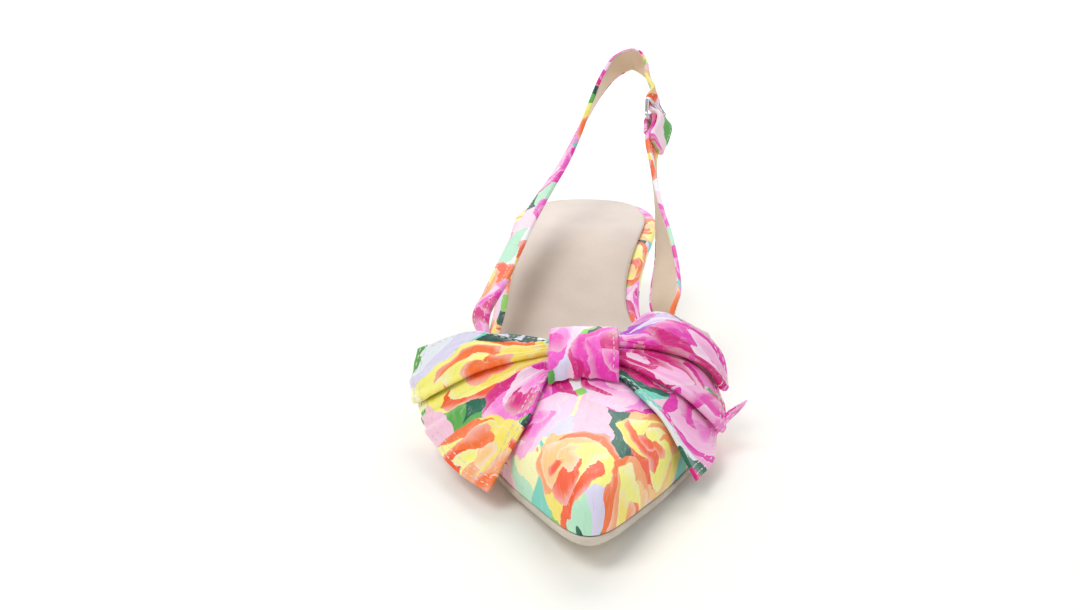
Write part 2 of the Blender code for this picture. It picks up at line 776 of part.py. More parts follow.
def ribbon(centre, across, out, width, thickness):
    """Points and faces of a strap with softened edges through the rows of its middle line."""
    corners = (
        (0.50, -0.22),
        (0.50, 0.22),
        (0.44, 0.50),
        (-0.44, 0.50),
        (-0.50, 0.22),
        (-0.50, -0.22),
        (-0.44, -0.50),
        (0.44, -0.50),
    )
    points = []
    for i in range(len(centre)):
        for side, level in corners:
            points.append(centre[i] + across[i] * side * width[i] + out[i] * level * thickness)
    count = len(corners)
    faces = []
    for i in range(len(centre) - 1):
        for j in range(count):
            k = (j + 1) % count
            faces.append((i * count + j, (i + 1) * count + j, (i + 1) * count + k, i * count + k))
    faces.append(tuple(range(count)))
    last = (len(centre) - 1) * count
    faces.append(tuple(last + j for j in range(count))[::-1])
    return points, faces


def closed_wire(centre, side, out, half_side, half_run, along, wire):
    """Points and faces of a rounded rectangular ring of wire in the plane of two directions."""
    radius = BUCKLE_CORNER * wire
    path = []
    outward = []
    for turn_side, turn_run, first in ((1, 1, 0), (-1, 1, 90), (-1, -1, 180), (1, -1, 270)):
        corner_side = turn_side * (half_side - radius)
        corner_run = turn_run * (half_run - radius)
        for step in range(CORNER_STEPS + 1):
            angle = math.radians(first + 90 * step / CORNER_STEPS)
            direction = side * math.cos(angle) + along * math.sin(angle)
            path.append(centre + side * corner_side + along * corner_run + direction * radius)
            outward.append(direction)
    points = []
    for place_on_path, direction in zip(path, outward):
        for k in range(WIRE_SIDES):
            angle = 2 * math.pi * (k + 0.5) / WIRE_SIDES
            points.append(place_on_path + (direction * math.cos(angle) + out * math.sin(angle)) * wire / 2)
    count = len(path)
    faces = []
    for i in range(count):
        j = (i + 1) % count
        for k in range(WIRE_SIDES):
            m = (k + 1) % WIRE_SIDES
            faces.append((i * WIRE_SIDES + k, j * WIRE_SIDES + k, j * WIRE_SIDES + m, i * WIRE_SIDES + m))
    return points, faces


def make_buckle(finish):
    """The buckle's frame round the long strap, and its prong across the far bar."""
    line, run, buckle = sling_line()
    along, across, out = frames(line)
    at = int(np.argmin(np.abs(run - buckle)))
    centre = line[at, :3]
    points, faces = closed_wire(
        centre, across[at], out[at], BUCKLE_WIDTH / 2, BUCKLE_LENGTH / 2, along[at], BUCKLE_WIRE
    )
    add_object("buckle_frame", points, faces, finish)
    over_bar = BUCKLE_WIRE / 2 + GAP + PRONG_WIRE / 2
    over_strap = STRAP_THICKNESS + BUCKLE_WIRE + 2 * GAP + PRONG_WIRE / 2
    tip = centre - along[at] * (BUCKLE_LENGTH / 2 + BUCKLE_WIRE) + out[at] * over_bar
    hole = centre + along[at] * BUCKLE_WIRE + out[at] * over_strap
    direction = (hole - tip) / np.linalg.norm(hole - tip)
    upright = np.cross(direction, across[at])
    rings = []
    for share, size in ((0.0, 0.45), (0.06, 0.85), (0.14, 1.0), (0.92, 1.0), (1.0, 0.7)):
        ring = []
        for k in range(WIRE_SIDES):
            angle = 2 * math.pi * k / WIRE_SIDES
            turned = across[at] * math.cos(angle) - upright * math.sin(angle)
            ring.append(tip + (hole - tip) * share + turned * PRONG_WIRE / 2 * size)
        rings.append(ring)
    points, faces = loft(rings)
    add_object("buckle_prong", points, faces, finish)


def make_straps(finish):
    """The long strap with its tail past the buckle, and the short strap that holds the buckle's bar."""
    line, run, buckle = sling_line()
    _, across, out = frames(line)
    across = slanted(across, run, sling_root(SLING_LEFT_ROOT, STRAP_WIDTH, left=True))
    across = slanted(across, run[-1] - run, sling_root(SLING_RIGHT_ROOT, STRAP_BASE_WIDTH, left=False))
    bar = buckle + BUCKLE_LENGTH / 2
    far_bar = buckle - BUCKLE_LENGTH / 2
    under = -(BUCKLE_WIRE + STRAP_THICKNESS) / 2 - GAP
    over = BUCKLE_WIRE / 2 + 3 * GAP + 1.5 * STRAP_THICKNESS
    tail = STRAP_THICKNESS + 2 * GAP
    offset = under * step_between(run, far_bar - BUCKLE_LENGTH, far_bar)
    offset += (over - under) * step_between(run, far_bar, bar)
    offset -= (over - tail) * step_between(run, bar, bar + BUCKLE_LENGTH)
    chosen = np.flatnonzero(run <= bar + TAIL_LENGTH)[::3]
    centre = line[chosen, :3] + out[chosen] * offset[chosen, None]
    points, faces = ribbon(centre, across[chosen], out[chosen], line[chosen, 4], STRAP_THICKNESS)
    add_object("strap_long", points, faces, finish)
    wrap = (BUCKLE_WIRE + STRAP_THICKNESS) / 2 + GAP
    at = int(np.argmin(np.abs(run - bar)))
    chosen = np.flatnonzero(run > bar + GAP)[::-3][::-1]
    lifted = wrap * (1 - step_between(run[chosen], bar, bar + BUCKLE_LENGTH))
    centre = list(line[chosen, :3] + out[chosen] * lifted[:, None])
    side = list(across[chosen])
    face = list(out[chosen])
    width = list(line[chosen, 4])
    along = frames(line)[0][at]
    for step in range(SLEEVE_STEPS + 1):
        angle = math.pi * step / SLEEVE_STEPS
        turned = out[at] * math.cos(angle) - along * math.sin(angle)
        centre.insert(0, line[at, :3] + turned * wrap)
        side.insert(0, across[at])
        face.insert(0, turned)
        width.insert(0, line[at, 4])
    for share in (0.5, 1.0):
        centre.insert(0, line[at, :3] - out[at] * wrap + along * SLEEVE_LENGTH * share)
        side.insert(0, across[at])
        face.insert(0, -out[at])
        width.insert(0, line[at, 4])
    points, faces = ribbon(np.array(centre), np.array(side), np.array(face), width, STRAP_THICKNESS)
    add_object("strap_short", points, faces, finish)


def vamp_top(across, distance):
    """Height of the vamp's outer surface above a place in plan, or the sole's where the vamp isn't under it."""
    share = np.abs(across - middle(distance)) / np.maximum(half_width(distance), 1e-6)
    over = 1 - np.minimum(share, 1) ** VAMP_SQUARENESS
    return sole_top(distance) + ridge_height(distance) * over ** (1 / VAMP_SQUARENESS)


def sheet(grid, thickness):
    """Points and faces of a closed sheet round a grid of places on its middle surface."""
    first = np.gradient(grid, axis=0)
    second = np.gradient(grid, axis=1)
    normal = np.cross(first, second)
    normal /= np.linalg.norm(normal, axis=2, keepdims=True)
    rows, columns = grid.shape[:2]
    above = grid + normal * thickness / 2
    below = grid - normal * thickness / 2
    points = list(above.reshape(-1, 3)) + list(below.reshape(-1, 3))
    top = np.arange(rows * columns).reshape(rows, columns)
    bottom = top + rows * columns
    faces = []
    for i in range(rows - 1):
        for j in range(columns - 1):
            faces.append((top[i, j], top[i + 1, j], top[i + 1, j + 1], top[i, j + 1]))
            faces.append((bottom[i, j], bottom[i, j + 1], bottom[i + 1, j + 1], bottom[i + 1, j]))
    for i in range(rows - 1):
        faces.append((top[i, 0], bottom[i, 0], bottom[i + 1, 0], top[i + 1, 0]))
        faces.append((top[i + 1, -1], bottom[i + 1, -1], bottom[i, -1], top[i, -1]))
    for j in range(columns - 1):
        faces.append((top[0, j + 1], bottom[0, j + 1], bottom[0, j], top[0, j]))
        faces.append((top[-1, j], bottom[-1, j], bottom[-1, j + 1], top[-1, j + 1]))
    return tidy(points, faces)


def wing_cloth(rows, shares, turn):
    """Grid of places where a wing's cloth would lie unfolded, one row for each share of its width.

    turn is -1 for the left wing and 1 for the right one.
    """
    reach = BALL_WIDTH / 2 + BOW_OVERHANG
    crown = sole_top(THROAT) + VAMP_HEIGHT + BOW_RISE
    at = [row[0] for row in rows]
    places = []
    for k in range(len(WING_PLACES)):
        out = monotone(at, [row[1 + k][0] * reach for row in rows], shares)
        behind = monotone(at, [THROAT + row[1 + k][1] * BOW_SPAN for row in rows], shares)
        height = monotone(at, [row[1 + k][2] * crown for row in rows], shares)
        places.append(np.stack([turn * out, behind, height], axis=-1))
    root = places[0].copy()
    root[:, 0] = turn * (KNOT_WIDTH / 2 - WING_TUCK)
    knots = np.array([0.0, *WING_PLACES])
    along = np.linspace(0, 1, WING_STEPS + 1)
    columns = [root] + places
    grid = np.empty((len(shares), len(along), 3))
    for i in range(len(shares)):
        for k in range(3):
            grid[i, :, k] = monotone(knots, [column[i][k] for column in columns], along)
    return grid, along


def make_wing(name, rows, folds, turn, finish):
    """One wing of the bow: cloth that leaves the knot in folds and fans out to its hem past the sole's edge."""
    shares = []
    layers = []
    for (share, layer, steps), (next_share, next_layer, _) in zip(folds, folds[1:]):
        for step in range(steps):
            shares.append(share + (next_share - share) * step / steps)
            layers.append(layer + (next_layer - layer) * step / steps)
    shares = np.array(shares + [folds[-1][0]])
    layers = np.array(layers + [folds[-1][1]])
    grid, along = wing_cloth(rows, shares, turn)
    smooth_shares = np.linspace(0, 1, 60)
    flat, _ = wing_cloth(rows, smooth_shares, turn)
    normal = np.cross(np.gradient(flat, axis=0), np.gradient(flat, axis=1))
    normal *= np.where(normal[:, :, 2:] < 0, -1, 1)
    normal /= np.linalg.norm(normal, axis=2, keepdims=True)
    row = np.clip((shares * 59).round().astype(int), 0, 59)
    spacing = LAYER_AT_KNOT + (LAYER_AT_HEM - LAYER_AT_KNOT) * along
    grid[:, :, 2] = np.maximum(grid[:, :, 2], vamp_top(grid[:, :, 0], grid[:, :, 1]) + BOW_CLEARANCE)
    grid = grid + normal[row] * (layers[:, None] * spacing[None, :])[:, :, None]
    grid[:, :, 1] -= HEEL_TIP
    points, faces = sheet(grid if turn > 0 else grid[:, ::-1], BOW_CLOTH)
    add_object(name, points, faces, finish, 60)


def make_knot(finish):
    """The band across the middle of the bow, an arch that the wings' folds run into from both sides."""
    across = np.linspace(-KNOT_WIDTH / 2, KNOT_WIDTH / 2, KNOT_STEPS + 1)
    share = np.concatenate([np.linspace(0, 0.12, 5)[:-1], np.linspace(0.12, 0.88, 8), np.linspace(0.88, 1, 5)[1:]])
    rise = monotone([row[0] for row in KNOT], [row[1] * KNOT_RISE for row in KNOT], share)
    distance = THROAT - KNOT_FRONT + share * (KNOT_FRONT + KNOT_BACK)
    grid = np.empty((len(across), len(share), 3))
    for i, x in enumerate(across):
        height = vamp_top(np.full_like(distance, x), distance) + GAP + rise
        grid[i] = place(np.full_like(distance, x), distance, height)
    points, faces = sheet(grid, KNOT_CLOTH)
    add_object("bow_knot", points, faces, finish)


def clear_scene():
    """Removes what the scene holds."""
    for old in list(bpy.data.objects):
        bpy.data.objects.remove(old, do_unlink=True)


def main():
    """Builds the shoe."""
    clear_scene()
    printed = material("printed_fabric", COLOURS["print"], 0.6)
    lining = material("lining", COLOURS["lining"], 0.6)
    beige = material("outsole", COLOURS["outsole"], 0.55)
    dark = material("top_lift", COLOURS["lift"], 0.5)
    silver = material("silver", COLOURS["silver"], 0.2, 1.0)
    make_outsole(beige)
    make_footbed(printed)
    make_sock(lining)
    make_upper(printed)
    make_heel(printed)
    make_lift(dark)
    make_straps(printed)
    make_buckle(silver)
    make_wing("bow_wing_left", LEFT_WING, LEFT_FOLDS, -1, printed)
    make_wing("bow_wing_right", RIGHT_WING, RIGHT_FOLDS, 1, printed)
    make_knot(printed)


main()
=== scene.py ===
"""A pointed slingback shoe in printed satin: its finished pieces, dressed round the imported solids."""

import logging
import math
from dataclasses import dataclass
from enum import Enum
from typing import Optional, Sequence, Union

import bmesh
import bpy
import numpy as np
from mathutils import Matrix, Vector


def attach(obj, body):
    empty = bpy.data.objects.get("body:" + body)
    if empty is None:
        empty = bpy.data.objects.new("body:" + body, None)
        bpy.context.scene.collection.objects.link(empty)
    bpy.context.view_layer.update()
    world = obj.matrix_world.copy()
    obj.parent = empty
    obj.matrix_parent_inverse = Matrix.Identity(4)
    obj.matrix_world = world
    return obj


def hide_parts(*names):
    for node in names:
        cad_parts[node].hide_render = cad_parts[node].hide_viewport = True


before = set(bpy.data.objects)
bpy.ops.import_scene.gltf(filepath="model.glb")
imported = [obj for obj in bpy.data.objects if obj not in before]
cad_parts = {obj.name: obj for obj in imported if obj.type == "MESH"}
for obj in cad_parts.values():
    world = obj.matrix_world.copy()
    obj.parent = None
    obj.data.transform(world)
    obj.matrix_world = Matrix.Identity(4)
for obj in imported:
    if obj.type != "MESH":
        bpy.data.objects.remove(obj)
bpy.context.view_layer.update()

log = logging.getLogger("shoe")
MM = 0.001
BODY = "root"
CLOTH_MAP = "Cloth"
# Where a piece's cloth coordinates start, so that none is negative
CLOTH_START = 0.3
# Points nearer than this are one
SAME_PLACE = 2e-6
Number = Union[float, np.ndarray]
Colour = tuple[float, float, float]


# Sums and curves


def monotone(xs: Sequence[float], ys: Sequence[float], x: Number) -> np.ndarray:
    """A smooth curve through rows that never overshoots them.

    Args:
        xs: Rising places of the rows.
        ys: Values of the rows.
        x: Where the curve is read.

    Returns:
        The curve's values at x.
    """
    xs = np.asarray(xs, float)
    ys = np.asarray(ys, float)
    step = np.diff(xs)
    slope = np.diff(ys) / step
    tangent = np.zeros(len(xs))
    same_way = slope[:-1] * slope[1:] > 0
    before = 2 * step[1:] + step[:-1]
    after = step[1:] + 2 * step[:-1]
    with np.errstate(divide="ignore", invalid="ignore"):
        mean = (before + after) / (before / slope[:-1] + after / slope[1:])
    tangent[1:-1] = np.where(same_way, mean, 0.0)
    tangent[0] = slope[0]
    tangent[-1] = slope[-1]
    x = np.clip(x, xs[0], xs[-1])
    i = np.clip(np.searchsorted(xs, x, side="right") - 1, 0, len(step) - 1)
    t = (x - xs[i]) / step[i]
    rise = ys[i + 1] - ys[i]
    a = tangent[i] * step[i]
    b = tangent[i + 1] * step[i]
    return ys[i] + a * t + (3 * rise - 2 * a - b) * t**2 + (a + b - 2 * rise) * t**3


def ease(x: Number, low: float, high: float) -> np.ndarray:
    """A soft step from 0 at low to 1 at high."""
    t = np.clip((np.asarray(x, float) - low) / (high - low), 0, 1)
    return t * t * (3 - 2 * t)


def unit(vectors: np.ndarray) -> np.ndarray:
    """The vectors at a length of 1."""
    return vectors / np.maximum(np.linalg.norm(vectors, axis=-1, keepdims=True), 1e-12)


def normals_of(grid: np.ndarray) -> np.ndarray:
    """Directions square to a grid of places, by its rows crossed with its columns."""
    return unit(np.cross(np.gradient(grid, axis=0), np.gradient(grid, axis=1)))


def run_of(path: np.ndarray, axis: int = 0) -> np.ndarray:
    """The length run along one axis of places, from 0.

    Args:
        path: Places, with x, y and z in the last axis.
        axis: The axis that is followed.

    Returns:
        The length run to each place.
    """
    steps = np.linalg.norm(np.diff(path, axis=axis), axis=-1)
    start = np.zeros_like(np.take(steps, [0], axis=axis))
    return np.concatenate([start, np.cumsum(steps, axis=axis)], axis=axis)


def upwards(directions: np.ndarray) -> np.ndarray:
    """The directions, with those that look down turned round."""
    return directions * np.where(directions[..., 2:] < 0, -1, 1)


# Points read off a smooth line for each row that it is cut into
FINENESS = 8


def smooth_line(knots: Sequence, count: int) -> tuple[np.ndarray, np.ndarray]:
    """Evenly spaced rows along a smooth curve through knots.

    Args:
        knots: Rows whose first three columns are a place.
        count: Rows wanted.

    Returns:
        The rows, and the length run to each.
    """
    knots = np.asarray(knots, float)
    chord = np.sqrt(np.linalg.norm(np.diff(knots[:, :3], axis=0), axis=1))
    at = np.concatenate([[0], np.cumsum(chord)])
    fine = np.linspace(0, at[-1], FINENESS * count)
    slope = np.gradient(knots, at, axis=0)
    i = np.clip(np.searchsorted(at, fine, side="right") - 1, 0, len(at) - 2)
    width = (at[i + 1] - at[i])[:, None]
    t = (fine - at[i])[:, None] / width
    rows = (
        (2 * t**3 - 3 * t**2 + 1) * knots[i]
        + (t**3 - 2 * t**2 + t) * width * slope[i]
        + (3 * t**2 - 2 * t**3) * knots[i + 1]
        + (t**3 - t**2) * width * slope[i + 1]
    )
    run = run_of(rows[:, :3])
    even = np.linspace(0, run[-1], count)
    return np.stack([np.interp(even, run, rows[:, k]) for k in range(rows.shape[1])], axis=1), even


def ripple(x: np.ndarray, seed: int, waves: int = 5) -> np.ndarray:
    """An even, seeded sum of a few sine waves, between about -1 and 1.

    Args:
        x: Where it is read; a unit is about one wave.
        seed: Picks the waves.
        waves: How many are summed.

    Returns:
        The sum at x.
    """
    draw = np.random.default_rng(seed)
    total = np.zeros_like(np.asarray(x, float))
    for _ in range(waves):
        total = total + np.sin(x * draw.uniform(0.5, 1.7) * 2 * math.pi + draw.uniform(0, 2 * math.pi))
    return total / waves**0.5 / 1.3


# Meshes


def to_mesh(
    name: str,
    points: Sequence,
    faces: Sequence[tuple[int, ...]],
    spots: Sequence[tuple],
    finish: bpy.types.Material,
    sharp: float = 40,
) -> bpy.types.Object:
    """An object at the origin from points, faces and the cloth coordinates of each face's corners.

    Args:
        name: The piece's name.
        points: Places in metres.
        faces: Point numbers of each face.
        spots: Cloth coordinates in metres, one list of pairs for each face.
        finish: The piece's material.
        sharp: Angle in degrees past which an edge stays sharp.

    Returns:
        The linked object.
    """
    mesh = bpy.data.meshes.new(name)
    mesh.from_pydata([tuple(map(float, point)) for point in points], [], [tuple(map(int, f)) for f in faces])
    layer = mesh.uv_layers.new(name=CLOTH_MAP)
    flat = np.array([spot for face in spots for spot in face], np.float32)
    layer.uv.foreach_set("vector", flat.ravel())
    mesh.materials.append(finish)
    mesh.shade_smooth()
    mesh.set_sharp_from_angle(angle=math.radians(sharp))
    return link(bpy.data.objects.new(name, mesh))


def link(made: bpy.types.Object) -> bpy.types.Object:
    """Puts a new object in the scene."""
    bpy.context.scene.collection.objects.link(made)
    return made


def merge(made: bpy.types.Object) -> bpy.types.Object:
    """Merges an object's doubled points and turns its faces outwards.

    Args:
        made: The object.

    Returns:
        The same object.
    """
    work = bmesh.new()
    work.from_mesh(made.data)
    bmesh.ops.remove_doubles(work, verts=work.verts, dist=SAME_PLACE)
    bmesh.ops.dissolve_degenerate(work, edges=work.edges, dist=SAME_PLACE)
    bmesh.ops.recalc_face_normals(work, faces=work.faces)
    work.to_mesh(made.data)
    work.free()
    return made


def sheet_between(
    name: str,
    top: np.ndarray,
    bottom: np.ndarray,
    cloth: np.ndarray,
    finish: bpy.types.Material,
    sharp: float = 50,
) -> bpy.types.Object:
    """A closed sheet between two grids of places.

    Args:
        name: The piece's name.
        top: Outer places, rows by columns.
        bottom: Inner places, in the same grid.
        cloth: Cloth coordinates of the grid, in metres.
        finish: The piece's material.
        sharp: Angle in degrees past which an edge stays sharp.

    Returns:
        The linked object.
    """
    rows, columns = top.shape[:2]
    number = np.arange(rows * columns).reshape(rows, columns)
    under = number + rows * columns
    faces: list[tuple] = []
    spots: list[list] = []
    for i in range(rows - 1):
        for j in range(columns - 1):
            ring = ((i, j), (i + 1, j), (i + 1, j + 1), (i, j + 1))
            faces.append(tuple(number[k] for k in ring))
            spots.append([cloth[k] for k in ring])
            faces.append(tuple(under[k] for k in ring[::-1]))
            spots.append([cloth[k] for k in ring[::-1]])
    edge = [(i, 0) for i in range(rows)] + [(rows - 1, j) for j in range(1, columns)]
    edge += [(i, columns - 1) for i in range(rows - 2, -1, -1)] + [(0, j) for j in range(columns - 2, -1, -1)]
    for here, there in zip(edge, edge[1:]):
        faces.append((number[here], under[here], under[there], number[there]))
        spots.append([cloth[here], cloth[here], cloth[there], cloth[there]])
    points = np.concatenate([top.reshape(-1, 3), bottom.reshape(-1, 3)])
    return merge(to_mesh(name, points, faces, spots, finish, sharp))


def tube_through(
    name: str,
    rings: np.ndarray,
    cloth: np.ndarray,
    finish: bpy.types.Material,
    closed: bool = False,
    sharp: float = 50,
) -> bpy.types.Object:
    """A closed solid through rings of points.

    Args:
        name: The piece's name.
        rings: Places, one row for each ring.
        cloth: Cloth coordinates in metres, with one more column than the rings.
        finish: The piece's material.
        closed: Whether the last ring joins the first.
        sharp: Angle in degrees past which an edge stays sharp.

    Returns:
        The linked object.
    """
    count, around = rings.shape[:2]
    faces: list[tuple] = []
    spots: list[list] = []
    for i in range(count if closed else count - 1):
        nxt = (i + 1) % count
        for j in range(around):
            k = (j + 1) % around
            faces.append((i * around + j, nxt * around + j, nxt * around + k, i * around + k))
            spots.append([cloth[i, j], cloth[nxt, j], cloth[nxt, j + 1], cloth[i, j + 1]])
    if not closed:
        for i in (0, count - 1):
            faces.append(tuple(i * around + j for j in range(around)))
            spots.append([cloth[i, j] for j in range(around)])
    return merge(to_mesh(name, rings.reshape(-1, 3), faces, spots, finish, sharp))


def softened(
    node: str,
    name: str,
    finish: bpy.types.Material,
    levels: int = 2,
    sharp: float = 35,
) -> bpy.types.Object:
    """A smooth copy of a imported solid, with cloth coordinates that run down its sides.

    Args:
        node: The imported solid.
        name: The new piece's name.
        finish: Its material.
        levels: Rounds of subdivision.
        sharp: Angle in degrees past which an edge keeps its crease.

    Returns:
        The linked object.
    """
    work = bmesh.new()
    work.from_mesh(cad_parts[node].data)
    bmesh.ops.remove_doubles(work, verts=work.verts, dist=SAME_PLACE)
    bend, skew = math.radians(12), math.radians(70)
    bmesh.ops.join_triangles(work, faces=work.faces, angle_face_threshold=bend, angle_shape_threshold=skew)
    crease = work.edges.layers.float.new("crease_edge")
    for edge in work.edges:
        if len(edge.link_faces) == 2 and edge.calc_face_angle(0.0) > math.radians(sharp):
            edge[crease] = 0.9
    mesh = bpy.data.meshes.new(name)
    work.to_mesh(mesh)
    work.free()
    rough = link(bpy.data.objects.new(name, mesh))
    smooth = rough.modifiers.new("smooth", "SUBSURF")
    smooth.levels = levels
    smooth.render_levels = levels
    mesh = applied(rough, name)
    mesh.shade_smooth()
    mesh.set_sharp_from_angle(angle=math.radians(sharp + 15))
    mesh.materials.clear()
    mesh.materials.append(finish)
    unroll(mesh)
    return link(bpy.data.objects.new(name, mesh))


def applied(source: bpy.types.Object, name: str) -> bpy.types.Mesh:
    """The mesh of an object with its modifiers in it; the object itself is removed.

    Args:
        source: A mesh or curve object.
        name: The new mesh's name.

    Returns:
        The mesh.
    """
    graph = bpy.context.evaluated_depsgraph_get()
    mesh = bpy.data.meshes.new_from_object(source.evaluated_get(graph))
    source.modifiers.clear()
    data = source.data
    bpy.data.objects.remove(source, do_unlink=True)
    if isinstance(data, bpy.types.Mesh):
        bpy.data.meshes.remove(data)
    else:
        bpy.data.curves.remove(data)
    mesh.name = name
    return mesh


def unroll(mesh: bpy.types.Mesh) -> None:
    """Gives a mesh its cloth coordinates: its plan, with its sides folded out of it.

    Args:
        mesh: The mesh, at the origin.
    """
    places, facing = np.empty((2, len(mesh.vertices) * 3), np.float32)
    mesh.vertices.foreach_get("co", places)
    mesh.vertices.foreach_get("normal", facing)
    places, facing = places.reshape(-1, 3), facing.reshape(-1, 3)
    drop = places[:, 2].max() - places[:, 2]
    cloth = places[:, :2] + facing[:, :2] * drop[:, None] + CLOTH_START
    corner = np.empty(len(mesh.loops), np.int32)
    mesh.loops.foreach_get("vertex_index", corner)
    layer = mesh.uv_layers.get(CLOTH_MAP) or mesh.uv_layers.new(name=CLOTH_MAP)
    layer.uv.foreach_set("vector", cloth[corner].astype(np.float32).ravel())


def dress(piece: bpy.types.Object, slot: str, *nodes: str) -> bpy.types.Object:
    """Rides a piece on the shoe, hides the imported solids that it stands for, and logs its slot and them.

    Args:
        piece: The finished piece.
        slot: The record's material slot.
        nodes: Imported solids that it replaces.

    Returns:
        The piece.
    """
    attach(piece, BODY)
    if nodes:
        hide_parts(*nodes)
    count = len(piece.data.polygons)
    log.info("%s: %d faces, slot %s, stands for %s", piece.name, count, slot, nodes or "nothing")
    return piece


# Materials


class Wire:
    """One socket of a node tree, on which sums are written as expressions."""

    def __init__(self, recipe: "Recipe", socket: bpy.types.NodeSocket) -> None:
        """Wraps the socket of a recipe."""
        self.recipe = recipe
        self.socket = socket

    def sum_of(self, operation: str, *others: Union["Wire", float], first: Optional[float] = None) -> "Wire":
        """A Math node on this socket.

        Args:
            operation: Its operation.
            others: The further values.
            first: A number that stands before this socket.

        Returns:
            The node's result.
        """
        values = [self, *others] if first is None else [first, self]
        return self.recipe.add("ShaderNodeMath", {"operation": operation}, dict(enumerate(values)))

    def __add__(self, other: Union["Wire", float]) -> "Wire":
        """Sum."""
        return self.sum_of("ADD", other)

    __radd__ = __add__

    def __rsub__(self, other: float) -> "Wire":
        """Difference from a number."""
        return self.sum_of("SUBTRACT", first=other)

    def __mul__(self, other: Union["Wire", float]) -> "Wire":
        """Product."""
        return self.sum_of("MULTIPLY", other)

    def __truediv__(self, other: Union["Wire", float]) -> "Wire":
        """Quotient."""
        return self.sum_of("DIVIDE", other)

    def __gt__(self, other: Union["Wire", float]) -> "Wire":
        """1 where this is the greater."""
        return self.sum_of("GREATER_THAN", other)

    def floor(self) -> "Wire":
        """The whole number below."""
        return self.sum_of("FLOOR")

    def fraction(self) -> "Wire":
        """What is over the whole number below."""
        return self.sum_of("FRACT")

    def between(self, low: float, high: float) -> "Wire":
        """A soft step from 0 at low to 1 at high."""
        feeds = {"Value": self, "From Min": low, "From Max": high}
        return self.recipe.add("ShaderNodeMapRange", {"interpolation_type": "SMOOTHSTEP"}, feeds)


